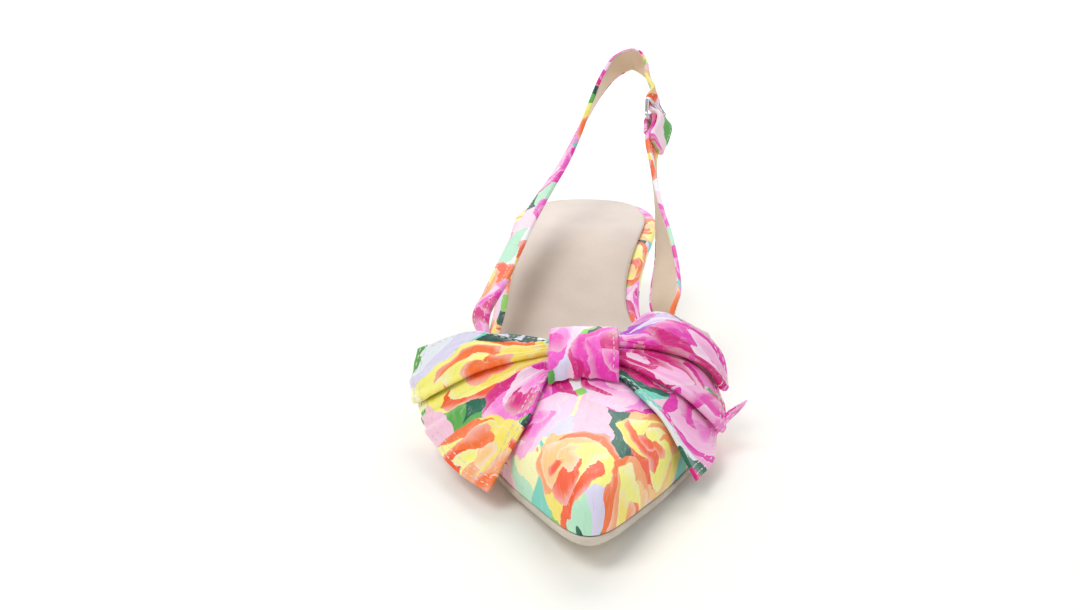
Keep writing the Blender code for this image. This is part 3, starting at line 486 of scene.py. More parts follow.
class Recipe:
    """The nodes of one material or node group."""

    def __init__(self, tree: bpy.types.NodeTree) -> None:
        """Starts on an empty tree."""
        self.tree = tree
        tree.nodes.clear()

    @classmethod
    def material(cls, name: str) -> tuple[bpy.types.Material, "Recipe"]:
        """Starts a material.

        Args:
            name: Its name.

        Returns:
            The material, and the recipe of its nodes.
        """
        made = bpy.data.materials.new(name)
        made.use_nodes = True
        return made, cls(made.node_tree)

    def add(
        self,
        kind: str,
        settings: Optional[dict] = None,
        feeds: Optional[dict] = None,
        result: Union[int, str] = 0,
    ) -> Optional[Wire]:
        """Adds one node.

        Args:
            kind: The node's type.
            settings: Its settings, set before its sockets. "stops" are a ramp's.
            feeds: Values or wires of its sockets, by name or number.
            result: The output that is wanted.

        Returns:
            That output, or nothing for a node without outputs.
        """
        node = self.tree.nodes.new(kind)
        for key, value in (settings or {}).items():
            if key == "stops":
                self.set_stops(node.color_ramp, value)
            elif key == "interpolation" and kind == "ShaderNodeValToRGB":
                node.color_ramp.interpolation = value
            else:
                setattr(node, key, value)
        for key, value in (feeds or {}).items():
            socket = node.inputs[key]
            if isinstance(value, Wire):
                self.tree.links.new(value.socket, socket)
            else:
                socket.default_value = value
        outputs = [o for o in node.outputs if o.enabled] if isinstance(result, int) else node.outputs
        return Wire(self, outputs[result]) if len(outputs) else None

    @staticmethod
    def set_stops(ramp: bpy.types.ColorRamp, stops: Sequence[tuple[float, Colour]]) -> None:
        """Sets a ramp's stops.

        Args:
            ramp: The ramp.
            stops: Pairs of place and colour.
        """
        while len(ramp.elements) > 1:
            ramp.elements.remove(ramp.elements[-1])
        ramp.elements[0].position = stops[0][0]
        ramp.elements[0].color = (*stops[0][1], 1)
        for at, colour in stops[1:]:
            ramp.elements.new(at).color = (*colour, 1)

    def surface(self, feeds: dict) -> None:
        """Ends a material with its shader, whose sockets are fed by name."""
        shader = self.add("ShaderNodeBsdfPrincipled", {}, feeds)
        self.add("ShaderNodeOutputMaterial", {}, {"Surface": shader})

    def bump(self, height: Wire, strength: float, deep: float) -> Wire:
        """The direction that a height gives the surface; deep is in metres."""
        return self.add("ShaderNodeBump", {}, {"Height": height, "Strength": strength, "Distance": deep})

    def millimetres(self) -> Wire:
        """The object's own coordinates, in millimetres."""
        return self.vector("SCALE", self.add("ShaderNodeTexCoord", {}, {}, "Object"), 1 / MM)

    def cells(self, at: Wire, scale: float, random: float) -> Wire:
        """The colours of a flat Voronoi node's cells."""
        feeds = {"Vector": at, "Scale": scale, "Randomness": random}
        return self.add("ShaderNodeTexVoronoi", {"voronoi_dimensions": "2D", "feature": "F1"}, feeds, "Color")

    def mix(
        self,
        share: Union[Wire, float],
        first: Union[Wire, tuple],
        second: Union[Wire, tuple],
        way: str = "MIX",
    ) -> Wire:
        """A mix of two colours.

        Args:
            share: How much of the second.
            first: The first colour.
            second: The second colour.
            way: How they blend.

        Returns:
            The mixed colour.
        """
        settings = {"data_type": "RGBA", "blend_type": way, "clamp_factor": True}
        node_first = first if isinstance(first, Wire) else (*first, 1)
        node_second = second if isinstance(second, Wire) else (*second, 1)
        return self.add("ShaderNodeMix", settings, {0: share, 6: node_first, 7: node_second})

    def vector(
        self,
        operation: str,
        first: Union[Wire, tuple],
        second: Union[Wire, tuple, float, None] = None,
    ) -> Wire:
        """A Vector Math node.

        Args:
            operation: Its operation.
            first: The first vector.
            second: The second vector, or the factor of a scale.

        Returns:
            The node's result.
        """
        feeds: dict = {0: first}
        if operation == "SCALE":
            feeds["Scale"] = second
        elif second is not None:
            feeds[1] = second
        return self.add("ShaderNodeVectorMath", {"operation": operation}, feeds)

    def noise(
        self,
        at: Wire,
        scale: float,
        detail: float = 2,
        rough: float = 0.5,
        colour: bool = False,
    ) -> Wire:
        """A Noise node's value, or its colour."""
        feeds = {"Vector": at, "Scale": scale, "Detail": detail, "Roughness": rough}
        return self.add("ShaderNodeTexNoise", {"noise_dimensions": "3D"}, feeds, "Color" if colour else "Fac")

    def split(self, at: Wire) -> tuple[Wire, Wire, Wire]:
        """The three parts of a vector or colour."""
        first = self.add("ShaderNodeSeparateXYZ", {}, {0: at})
        return tuple(Wire(self, output) for output in first.socket.node.outputs)

    def join(self, x: Union[Wire, float], y: Union[Wire, float], z: Union[Wire, float] = 0.0) -> Wire:
        """A vector from three parts."""
        return self.add("ShaderNodeCombineXYZ", {}, {0: x, 1: y, 2: z})

    def steps(self, at: Wire, stops: Sequence[tuple[float, Colour]]) -> Wire:
        """A colour ramp that changes in steps."""
        return self.add("ShaderNodeValToRGB", {"stops": stops, "interpolation": "CONSTANT"}, {0: at})


def tint(red: float, green: float, blue: float) -> Colour:
    """A linear colour from one as a screen shows it.

    Args:
        red: Red, from 0 to 255.
        green: Green.
        blue: Blue.

    Returns:
        The linear colour.
    """
    shown = np.array([red, green, blue]) / 255
    linear = np.where(shown <= 0.04045, shown / 12.92, ((shown + 0.055) / 1.055) ** 2.4)
    return tuple(float(v) for v in linear)


def shaded(colour: Colour, share: float) -> Colour:
    """A linear colour made darker or paler by a factor, at most full white."""
    return tuple(min(1.0, value * share) for value in colour)


class Family(Enum):
    """The colours of one kind of bloom, or of the leaves and ground between them."""

    ROSE = (
        (240, 52, 182),
        (252, 132, 216),
        (255, 214, 240),
        (222, 22, 132),
        (255, 182, 226),
        (246, 84, 202),
    )
    SUNSET = (
        (255, 118, 48),
        (255, 166, 104),
        (255, 234, 104),
        (252, 92, 40),
        (255, 206, 134),
        (255, 248, 128),
    )
    ORCHID = (
        (162, 56, 186),
        (212, 128, 226),
        (242, 222, 252),
        (110, 32, 124),
        (238, 100, 212),
        (196, 96, 216),
    )
    LEMON = (
        (255, 246, 110),
        (255, 224, 60),
        (255, 250, 178),
        (250, 200, 60),
        (236, 240, 110),
        (255, 252, 214),
    )
    LEAF = (
        (148, 214, 88),
        (250, 250, 252),
        (28, 108, 84),
        (190, 238, 206),
        (255, 226, 238),
        (96, 178, 80),
        (240, 244, 250),
        (120, 216, 196),
        (16, 78, 66),
        (228, 222, 246),
        (255, 252, 190),
        (255, 206, 226),
    )


class PaintedFlowers:
    """The print: loose, knife-painted blooms with leaves between them, as one node group."""

    GROUP = "painted_flowers"
    # Millimetres from bloom to bloom, across a ring of petals and across a leaf
    BLOOM = 30.0
    RING = 5.6
    STROKE = 10.5
    # Millimetres that the blooms' outlines wander and fray
    WANDER = 13.0
    FRAY = 1.7
    # Where the pick of a cell passes from one family to the next
    SHARES = ((0.42, Family.SUNSET), (0.68, Family.ORCHID), (0.84, Family.LEMON))
    # Lean of the two layers of leaves, in radians
    LEANS = (0.7, -0.5)

    @classmethod
    def group(cls) -> bpy.types.NodeTree:
        """The node group, built on first use.

        Returns:
            The group.
        """
        found = bpy.data.node_groups.get(cls.GROUP)
        if found:
            return found
        tree = bpy.data.node_groups.new(cls.GROUP, "ShaderNodeTree")
        tree.interface.new_socket("Cloth", in_out="INPUT", socket_type="NodeSocketVector")
        tree.interface.new_socket("Color", in_out="OUTPUT", socket_type="NodeSocketColor")
        cls.paint(Recipe(tree))
        return tree

    @classmethod
    def colours(cls, recipe: Recipe, pick: Wire, family: Family) -> Wire:
        """A stepped ramp through a family's colours.

        Args:
            recipe: The group's recipe.
            pick: Where the ramp is read, from 0 to 1.
            family: The colours.

        Returns:
            The picked colour.
        """
        tints = family.value
        stops = [(i / len(tints), tint(*shown)) for i, shown in enumerate(tints)]
        return recipe.steps(pick, stops)

    @classmethod
    def paint(cls, recipe: Recipe) -> None:
        """Builds the group's nodes, on cloth coordinates in millimetres.

        Args:
            recipe: The group's recipe.
        """
        cloth = recipe.add("NodeGroupInput", {}, {}, "Cloth")
        wander = recipe.vector("SUBTRACT", recipe.noise(cloth, 0.055, 2, 0.55, True), (0.5, 0.5, 0.5))
        fray = recipe.vector("SUBTRACT", recipe.noise(cloth, 0.42, 3, 0.6, True), (0.5, 0.5, 0.5))
        warped = recipe.vector("ADD", cloth, recipe.vector("SCALE", wander, cls.WANDER))
        warped = recipe.vector("ADD", warped, recipe.vector("SCALE", fray, cls.FRAY))
        cell = recipe.cells(warped, 1 / cls.BLOOM, 0.82)
        centre = Wire(recipe, cell.socket.node.outputs["Position"])
        one, two, three = recipe.split(cell)
        offset = recipe.vector("SUBTRACT", warped, centre)
        x, y, _ = recipe.split(offset)
        radius = recipe.add("ShaderNodeVectorMath", {"operation": "LENGTH"}, {0: offset}, "Value")
        angle = recipe.add("ShaderNodeMath", {"operation": "ARCTAN2"}, {0: y, 1: x})
        turned = angle / (2 * math.pi) + 0.5 + two + radius * 0.021
        wobble = (turned * 3 * 2 * math.pi).sum_of("SINE") * 0.28
        depth = radius / cls.RING + wobble
        ring = depth.floor()
        petals = ring * 1.6 + 2.7
        around = (turned.fraction() + ring * 0.37).fraction() * petals
        petal = around.floor()
        key = recipe.join(petal + one * 31, ring + three * 17, two * 13)
        pick = recipe.add("ShaderNodeTexWhiteNoise", {"noise_dimensions": "3D"}, {"Vector": key}, "Value")
        bloom = cls.colours(recipe, pick, Family.ROSE)
        for least, family in cls.SHARES:
            bloom = recipe.mix(one > least, bloom, cls.colours(recipe, pick, family))
        edge = depth.fraction() * 0.9 + around.fraction() * 0.25
        bloom = recipe.mix(edge.between(0.55, 1.15) * 0.45, bloom, tint(255, 244, 240))
        ground = cls.leaves(recipe, warped, cloth)
        outside = radius > (cls.BLOOM * 0.36 + recipe.noise(cloth, 0.09, 1) * cls.BLOOM * 0.28)
        colour = recipe.mix(outside, bloom, ground)
        feeds = {"Vector": warped, "Rotation": (0, 0, 0.6), "Scale": (0.9, 0.16, 1)}
        streaks = recipe.add("ShaderNodeMapping", {}, feeds)
        strokes = recipe.noise(streaks, 1.0, 3, 0.65)
        colour = recipe.mix(strokes.between(0.52, 0.80) * 0.30, colour, tint(255, 250, 246))
        colour = recipe.mix(strokes.between(0.48, 0.22) * 0.15, colour, tint(222, 84, 140), "MULTIPLY")
        recipe.add("NodeGroupOutput", {}, {"Color": colour})

    @classmethod
    def leaves(cls, recipe: Recipe, warped: Wire, cloth: Wire) -> Wire:
        """The strokes between the blooms: slanted leaves in greens on a white, mint and blush ground.

        Args:
            recipe: The group's recipe.
            warped: The cloth's places after the brush has moved them.
            cloth: The cloth's places.

        Returns:
            The ground's colour.
        """
        layers = []
        for lean in cls.LEANS:
            feeds = {"Vector": warped, "Rotation": (0, 0, lean), "Scale": (1.0, 0.42, 1.0)}
            narrow = recipe.add("ShaderNodeMapping", {}, feeds)
            pick, _, _ = recipe.split(recipe.cells(narrow, 1 / cls.STROKE, 1.0))
            layers.append(cls.colours(recipe, pick, Family.LEAF))
        return recipe.mix(recipe.noise(cloth, 0.035, 1) > 0.5, *layers)


@dataclass(frozen=True)
class PrintedSatin:
    """Cotton satin with the painted print: where a piece was cut from the cloth, and how its weave lies.

    Attributes:
        name: The material's name.
        shift: Place on the cloth, in millimetres.
        turn: Turn of the cloth, in degrees.
        roughness: Mean roughness.
    """

    name: str
    shift: tuple[float, float] = (0.0, 0.0)
    turn: float = 0.0
    roughness: float = 0.46

    def material(self) -> bpy.types.Material:
        """Builds the finish.

        Returns:
            The material.
        """
        made, recipe = Recipe.material(self.name)
        feeds = {
            "Vector": recipe.add("ShaderNodeUVMap", {"uv_map": CLOTH_MAP}),
            "Location": (*self.shift, 0),
            "Rotation": (0, 0, math.radians(self.turn)),
            "Scale": (1 / MM, 1 / MM, 1 / MM),
        }
        placed = recipe.add("ShaderNodeMapping", {}, feeds)
        flowers = recipe.add("ShaderNodeGroup", {"node_tree": PaintedFlowers.group()}, {0: placed})
        across, along, _ = recipe.split(placed)
        warp = (across * (2 * math.pi / 0.34)).sum_of("SINE")
        weft = ((along + across * 0.34) * (2 * math.pi / 0.42)).sum_of("SINE")
        weave = warp * 0.5 + weft * 0.5
        slub = recipe.noise(placed, 0.5, 3, 0.6)
        crush = recipe.noise(placed, 0.11, 3, 0.55)
        height = weave * 0.012 + slub * 0.05 + crush * 0.5
        feeds = {
            "Base Color": flowers,
            "Roughness": self.roughness - 0.06 + crush * 0.16 + weave * 0.02,
            "Normal": recipe.bump(height, 0.55, 0.6 * MM),
            "Specular IOR Level": 0.42,
            "Sheen Weight": 0.12,
            "Sheen Roughness": 0.4,
        }
        recipe.surface(feeds)
        return made


@dataclass(frozen=True)
class TanLining:
    """Soft tan synthetic leather with a fine grain.

    Attributes:
        name: The material's name.
        shade: Its colour as a screen shows it.
        roughness: Mean roughness.
    """

    name: str
    shade: tuple[float, float, float] = (211, 192, 176)
    roughness: float = 0.33

    def material(self) -> bpy.types.Material:
        """Builds the finish.

        Returns:
            The material.
        """
        made, recipe = Recipe.material(self.name)
        at = recipe.millimetres()
        feeds = {"Vector": at, "Scale": 1.5, "Randomness": 1.0}
        edges = recipe.add("ShaderNodeTexVoronoi", {"feature": "DISTANCE_TO_EDGE"}, feeds, "Distance")
        grain = edges.between(0.0, 0.22)
        cloud = recipe.noise(at, 0.05, 3)
        wear = recipe.noise(at, 0.4, 4, 0.65)
        base = tint(*self.shade)
        colour = recipe.mix(cloud.between(0.35, 0.68), shaded(base, 0.94), shaded(base, 1.04))
        colour = recipe.mix((1 - grain) * 0.10, colour, shaded(base, 0.5))
        height = grain * 0.10 + wear * 0.12 + cloud * 0.4
        feeds = {
            "Base Color": colour,
            "Roughness": self.roughness - 0.06 + wear * 0.14,
            "Normal": recipe.bump(height, 0.35, 0.5 * MM),
            "Specular IOR Level": 0.4,
        }
        recipe.surface(feeds)
        return made


@dataclass(frozen=True)
class MouldedSheet:
    """Matte sheet rubber, with a pebbled or plain surface.

    Attributes:
        name: The material's name.
        shade: Its colour as a screen shows it.
        roughness: Mean roughness.
        pebble: Height of its pebble, from 0 to 1.
    """

    name: str
    shade: tuple[float, float, float]
    roughness: float
    pebble: float

    def material(self) -> bpy.types.Material:
        """Builds the finish.

        Returns:
            The material.
        """
        made, recipe = Recipe.material(self.name)
        at = recipe.millimetres()
        speck = recipe.noise(at, 2.2, 3, 0.6)
        cloud = recipe.noise(at, 0.09, 3)
        scuff = recipe.noise(recipe.vector("MULTIPLY", at, (1.0, 0.2, 1.0)), 0.8, 4, 0.7)
        base = tint(*self.shade)
        colour = recipe.mix(cloud.between(0.3, 0.7), shaded(base, 0.86), shaded(base, 1.08))
        colour = recipe.mix(scuff.between(0.58, 0.75) * 0.2, colour, shaded(base, 0.6))
        bump = recipe.bump(speck * self.pebble, 0.5, 0.3 * MM)
        feeds = {"Base Color": colour, "Roughness": self.roughness - 0.08 + scuff * 0.16, "Normal": bump}
        recipe.surface(feeds)
        return made


@dataclass(frozen=True)
class Plating:
    """Polished silver plate with fine wiping marks.

    Attributes:
        name: The material's name.
    """

    name: str = "silver_plate"

    def material(self) -> bpy.types.Material:
        """Builds the finish.

        Returns:
            The material.
        """
        made, recipe = Recipe.material(self.name)
        at = recipe.millimetres()
        marks = recipe.noise(recipe.vector("MULTIPLY", at, (1.0, 6.0, 1.0)), 1.1, 4, 0.7)
        colour = recipe.mix(marks.between(0.3, 0.7), tint(206, 206, 208), tint(236, 236, 238))
        feeds = {"Base Color": colour, "Metallic": 1.0, "Roughness": 0.12 + marks * 0.16}
        recipe.surface(feeds)
        return made


@dataclass(frozen=True)
class Thread:
    """Twisted sewing thread.

    Attributes:
        name: The material's name.
        shade: Its colour as a screen shows it.
    """

    name: str
    shade: tuple[float, float, float] = (246, 238, 226)

    def material(self) -> bpy.types.Material:
        """Builds the finish.

        Returns:
            The material.
        """
        made, recipe = Recipe.material(self.name)
        at = recipe.millimetres()
        twist = recipe.noise(at, 5.0, 2)
        base = tint(*self.shade)
        colour = recipe.mix(twist, shaded(base, 0.82), base)
        bump = recipe.bump(twist, 0.5, 0.2 * MM)
        feeds = {"Base Color": colour, "Roughness": 0.42 + twist * 0.2, "Normal": bump, "Sheen Weight": 0.3}
        recipe.surface(feeds)
        return made


# Stitches


# Step, length and width of a stitch on the vamp and the band, on the straps and on the wings
EVEN_STITCH = (2.2 * MM, 1.6 * MM, 0.34 * MM)
STRAP_STITCH = (2.1 * MM, 1.5 * MM, 0.32 * MM)
WING_STITCH = (2.3 * MM, 1.7 * MM, 0.36 * MM)


class Stitching:
    """Rows of thread, laid along a path by Geometry Nodes."""

    TREE = "stitch_row"

    @classmethod
    def tree(cls) -> bpy.types.NodeTree:
        """The Geometry Nodes tree, built on first use.

        It lays a rounded stitch at even steps along a path, realises the stitches and gives them thread.

        Returns:
            The tree.
        """
        found = bpy.data.node_groups.get(cls.TREE)
        if found:
            return found
        tree = bpy.data.node_groups.new(cls.TREE, "GeometryNodeTree")
        face = tree.interface
        face.new_socket("Geometry", in_out="INPUT", socket_type="NodeSocketGeometry")
        for title, value in zip(("Step", "Stitch", "Width"), EVEN_STITCH):
            face.new_socket(title, in_out="INPUT", socket_type="NodeSocketFloat").default_value = value
        face.new_socket("Thread", in_out="INPUT", socket_type="NodeSocketMaterial")
        face.new_socket("Geometry", in_out="OUTPUT", socket_type="NodeSocketGeometry")
        recipe = Recipe(tree)
        given = recipe.add("NodeGroupInput")
        inputs = {output.name: Wire(recipe, output) for output in given.socket.node.outputs if output.name}
        feeds = {"Curve": inputs["Geometry"], "Length": inputs["Step"]}
        spaced = recipe.add("GeometryNodeResampleCurve", {"mode": "LENGTH"}, feeds)
        tangent = recipe.add("GeometryNodeInputTangent")
        heading = recipe.add("FunctionNodeAlignRotationToVector", {"axis": "X"}, {"Vector": tangent})
        grain = recipe.add("GeometryNodeMeshUVSphere", {}, {"Segments": 6, "Rings": 4, "Radius": 1.0})
        size = recipe.join(inputs["Stitch"] * 0.5, inputs["Width"] * 0.5, inputs["Width"] * 0.42)
        feeds = {"Points": spaced, "Instance": grain, "Rotation": heading, "Scale": size}
        laid = recipe.add("GeometryNodeInstanceOnPoints", {}, feeds)
        real = recipe.add("GeometryNodeRealizeInstances", {}, {"Geometry": laid})
        soft = recipe.add("GeometryNodeSetShadeSmooth", {}, {"Geometry": real})
        done = recipe.add("GeometryNodeSetMaterial", {}, {"Geometry": soft, "Material": inputs["Thread"]})
        recipe.add("NodeGroupOutput", {}, {"Geometry": done})
        return tree

    @classmethod
    def sew(
        cls,
        name: str,
        paths: Sequence[np.ndarray],
        thread: bpy.types.Material,
        step: float,
        stitch: float,
        width: float,
    ) -> bpy.types.Object:
        """Sews one piece of stitching.

        Args:
            name: The piece's name.
            paths: Places along each row of stitches, on the cloth's surface.
            thread: The thread's material.
            step: From one stitch to the next.
            stitch: A stitch's length.
            width: The thread's thickness.

        Returns:
            The stitches as one plain mesh object.
        """
        curve = bpy.data.curves.new(name, "CURVE")
        curve.dimensions = "3D"
        for path in paths:
            spline = curve.splines.new("POLY")
            spline.points.add(len(path) - 1)
            points = np.column_stack([path, np.ones(len(path))]).astype(np.float32)
            spline.points.foreach_set("co", points.ravel())
        rough = link(bpy.data.objects.new(name, curve))
        nodes = rough.modifiers.new("stitches", "NODES")
        nodes.node_group = cls.tree()
        values = {"Step": step, "Stitch": stitch, "Width": width, "Thread": thread}
        for item in nodes.node_group.interface.items_tree:
            if item.in_out == "INPUT" and item.name in values:
                nodes[item.identifier] = values[item.name]
        return link(bpy.data.objects.new(name, applied(rough, name)))


# The last, and what is built on it


@dataclass
class Last:
    """The form that the shoe is built on. Distances run from the toe tip to the heel.

    Attributes:
        length: Length of the outline.
        widths: Width at the ball, the waist and the seat.
        toe_spring: Rise of the toe tip.
        heel_rise: Rise of the seat.
        vamp_height: Height of the ridge at the throat.
        outsole: Thickness of the outsole.
        gap: Room between neighbours.
        heel_tip: Distance of the heel's tip, which is the frame's origin.
        squareness: How squarely the vamp's section stands.
        swell: How far its shoulders swell.
        throat: Distance of the throat's middle.
        side_end: Distance of the vamp's ends at its sides.
        throat_sweep: How sharply the topline turns from the throat to the sides.
    """

    length: float = 0.245
    widths: tuple[float, float, float] = (0.0726, 0.0500, 0.0570)
    toe_spring: float = 0.0070
    heel_rise: float = 0.0324
    vamp_height: float = 0.0270
    outsole: float = 0.0023
    gap: float = 0.0003
    heel_tip: float = 0.2270
    squareness: float = 2.35
    swell: float = 0.025
    throat: float = 0.0780
    side_end: float = 0.1180
    throat_sweep: float = 1.6

    # Station, which width it follows, half-width as a share of it
    PLAN = (
        (0.000, 0, 0.000),
        (0.008, 0, 0.046),
        (0.020, 0, 0.075),
        (0.041, 0, 0.111),
        (0.082, 0, 0.173),
        (0.163, 0, 0.294),
        (0.245, 0, 0.402),
        (0.318, 0, 0.474),
        (0.388, 0, 0.500),
        (0.449, 0, 0.471),
        (0.510, 0, 0.411),
        (0.612, 1, 0.500),
        (0.735, 2, 0.457),
        (0.865, 2, 0.496),
        (0.939, 2, 0.446),
        (0.980, 2, 0.313),
        (1.000, 2, 0.000),
    )
    # Station, sideways shift as a share of the ball's width
    BEND = (
        (0.000, 0.022),
        (0.327, 0.027),
        (0.612, -0.085),
        (0.878, 0.000),
        (1.000, 0.000),
    )
    # Station, share of the toe spring, share of the heel's rise
    PROFILE = (
        (0.000, 1.00, 0.000),
        (0.082, 0.58, 0.000),
        (0.163, 0.24, 0.000),
        (0.286, 0.00, 0.000),
        (0.392, 0.00, 0.000),
        (0.441, 0.00, 0.050),
        (0.510, 0.00, 0.190),
        (0.592, 0.00, 0.400),
        (0.673, 0.00, 0.620),
        (0.755, 0.00, 0.800),
        (0.837, 0.00, 0.915),
        (1.000, 0.00, 1.000),
    )
    # Station, height as a share of the vamp's height
    RIDGE = (
        (0.000, 0.00),
        (0.004, 0.16),
        (0.014, 0.30),
        (0.035, 0.42),
        (0.082, 0.54),
        (0.163, 0.66),
        (0.245, 0.80),
        (0.318, 1.00),
        (0.388, 1.10),
        (0.500, 1.18),
    )

    @staticmethod
    def round_ended(station: Number) -> np.ndarray:
        """Angle that spreads stations so that the outline's ends come out round."""
        return np.arccos(np.clip(1 - 2 * np.asarray(station, float), -1, 1))

    def station(self, distance: Number) -> np.ndarray:
        """A distance as a share of the length."""
        return np.asarray(distance) / self.length

    def half_width(self, distance: Number) -> np.ndarray:
        """Half the last's width.

        Args:
            distance: Distances from the toe tip.

        Returns:
            The half-widths.
        """
        angles = self.round_ended([row[0] for row in self.PLAN])
        widths = [self.widths[row[1]] * row[2] for row in self.PLAN]
        return monotone(angles, widths, self.round_ended(self.station(distance)))

    def middle(self, distance: Number) -> np.ndarray:
        """Sideways place of the outline's middle line."""
        shifts = [row[1] * self.widths[0] for row in self.BEND]
        return monotone([row[0] for row in self.BEND], shifts, self.station(distance))

    def underside(self, distance: Number) -> np.ndarray:
        """Height of the outsole's underside."""
        rise = [row[1] * self.toe_spring + row[2] * self.heel_rise for row in self.PROFILE]
        return monotone([row[0] for row in self.PROFILE], rise, self.station(distance))

    def sole_top(self, distance: Number) -> np.ndarray:
        """Height that the upper stands at."""
        return self.underside(distance) + self.outsole + self.gap

    def ridge(self, distance: Number) -> np.ndarray:
        """Height of the vamp's ridge over the sole.

        Args:
            distance: Distances from the toe tip.

        Returns:
            The heights.
        """
        angles = self.round_ended([row[0] for row in self.RIDGE])
        heights = [row[1] * self.vamp_height for row in self.RIDGE]
        return monotone(angles, heights, self.round_ended(self.station(distance)))

    def place(self, across: Number, distance: Number, height: Number) -> np.ndarray:
        """A place in the frame."""
        return np.stack(np.broadcast_arrays(across, distance - self.heel_tip, height), axis=-1)

    def surface(self, distance: Number, angle: Number) -> np.ndarray:
        """Places on the vamp's outside.

        Args:
            distance: Distances from the toe tip.
            angle: Angles that run from the right edge over the ridge to the left edge.

        Returns:
            The places.
        """
        cosine, sine = np.cos(angle), np.sin(angle)
        power = 2 / self.squareness
        slope = np.clip(np.minimum(angle, math.pi - angle), 0, math.pi / 2)
        across = self.half_width(distance) * np.sign(cosine) * np.abs(cosine) ** power
        across = across * (1 + self.swell * np.sin(2 * slope))
        height = self.ridge(distance) * np.abs(sine) ** power
        return self.place(self.middle(distance) + across, distance, self.sole_top(distance) + height)

    def throat_at(self, angle: Number) -> np.ndarray:
        """Distance of the throat's edge."""
        return self.throat + (self.side_end - self.throat) * np.abs(np.cos(angle)) ** self.throat_sweep

    def normal(self, distance: Number, angle: Number) -> np.ndarray:
        """Outward directions of the vamp.

        Args:
            distance: Distances from the toe tip.
            angle: Angles round the vamp, as for its surface.

        Returns:
            The directions.
        """
        step, turn = 0.1 * MM, 0.001
        along = self.surface(distance + step, angle) - self.surface(distance - step, angle)
        low, high = np.clip(angle - turn, 0, math.pi), np.clip(angle + turn, 0, math.pi)
        return unit(np.cross(along, self.surface(distance, high) - self.surface(distance, low)))

    def top(self, across: np.ndarray, distance: np.ndarray) -> np.ndarray:
        """Height of the vamp over places in plan.

        Args:
            across: Sideways places.
            distance: Distances from the toe tip.

        Returns:
            The heights.
        """
        share = np.abs(across - self.middle(distance)) / np.maximum(self.half_width(distance), 1e-6)
        over = 1 - np.minimum(share, 1) ** self.squareness
        return self.sole_top(distance) + self.ridge(distance) * over ** (1 / self.squareness)


@dataclass
class Sole:
    """The outsole, the footbed with its covered rim, the sock, the heel and its top piece.

    Attributes:
        print_rim: The print on the rim.
        print_heel: The print on the heel.
        sheet: The outsole's rubber.
        lift: The top piece's rubber.
        tan: The sock's lining.
    """

    print_rim: PrintedSatin = PrintedSatin("printed_satin_rim", (12.0, 35.0), 20.0)
    print_heel: PrintedSatin = PrintedSatin("printed_satin_heel", (70.0, 12.0), 0.0)
    sheet: MouldedSheet = MouldedSheet("beige_sheet", (212, 200, 184), 0.55, 0.9)
    lift: MouldedSheet = MouldedSheet("dark_top_piece", (58, 50, 46), 0.5, 0.5)
    tan: TanLining = TanLining("tan_sock")

    def build(self) -> None:
        """Makes and dresses the pieces."""
        dress(softened("outsole", "outsole_sheet", self.sheet.material()), "outsole_sheet", "outsole")
        dress(softened("footbed", "covered_footbed", self.print_rim.material()), "printed_fabric", "footbed")
        dress(softened("insole_sock", "tan_sock", self.tan.material()), "lining", "insole_sock")
        dress(softened("heel", "covered_heel", self.print_heel.material()), "printed_fabric", "heel")
        dress(softened("top_lift", "heel_top_piece", self.lift.material(), 1), "top_lift", "top_lift")


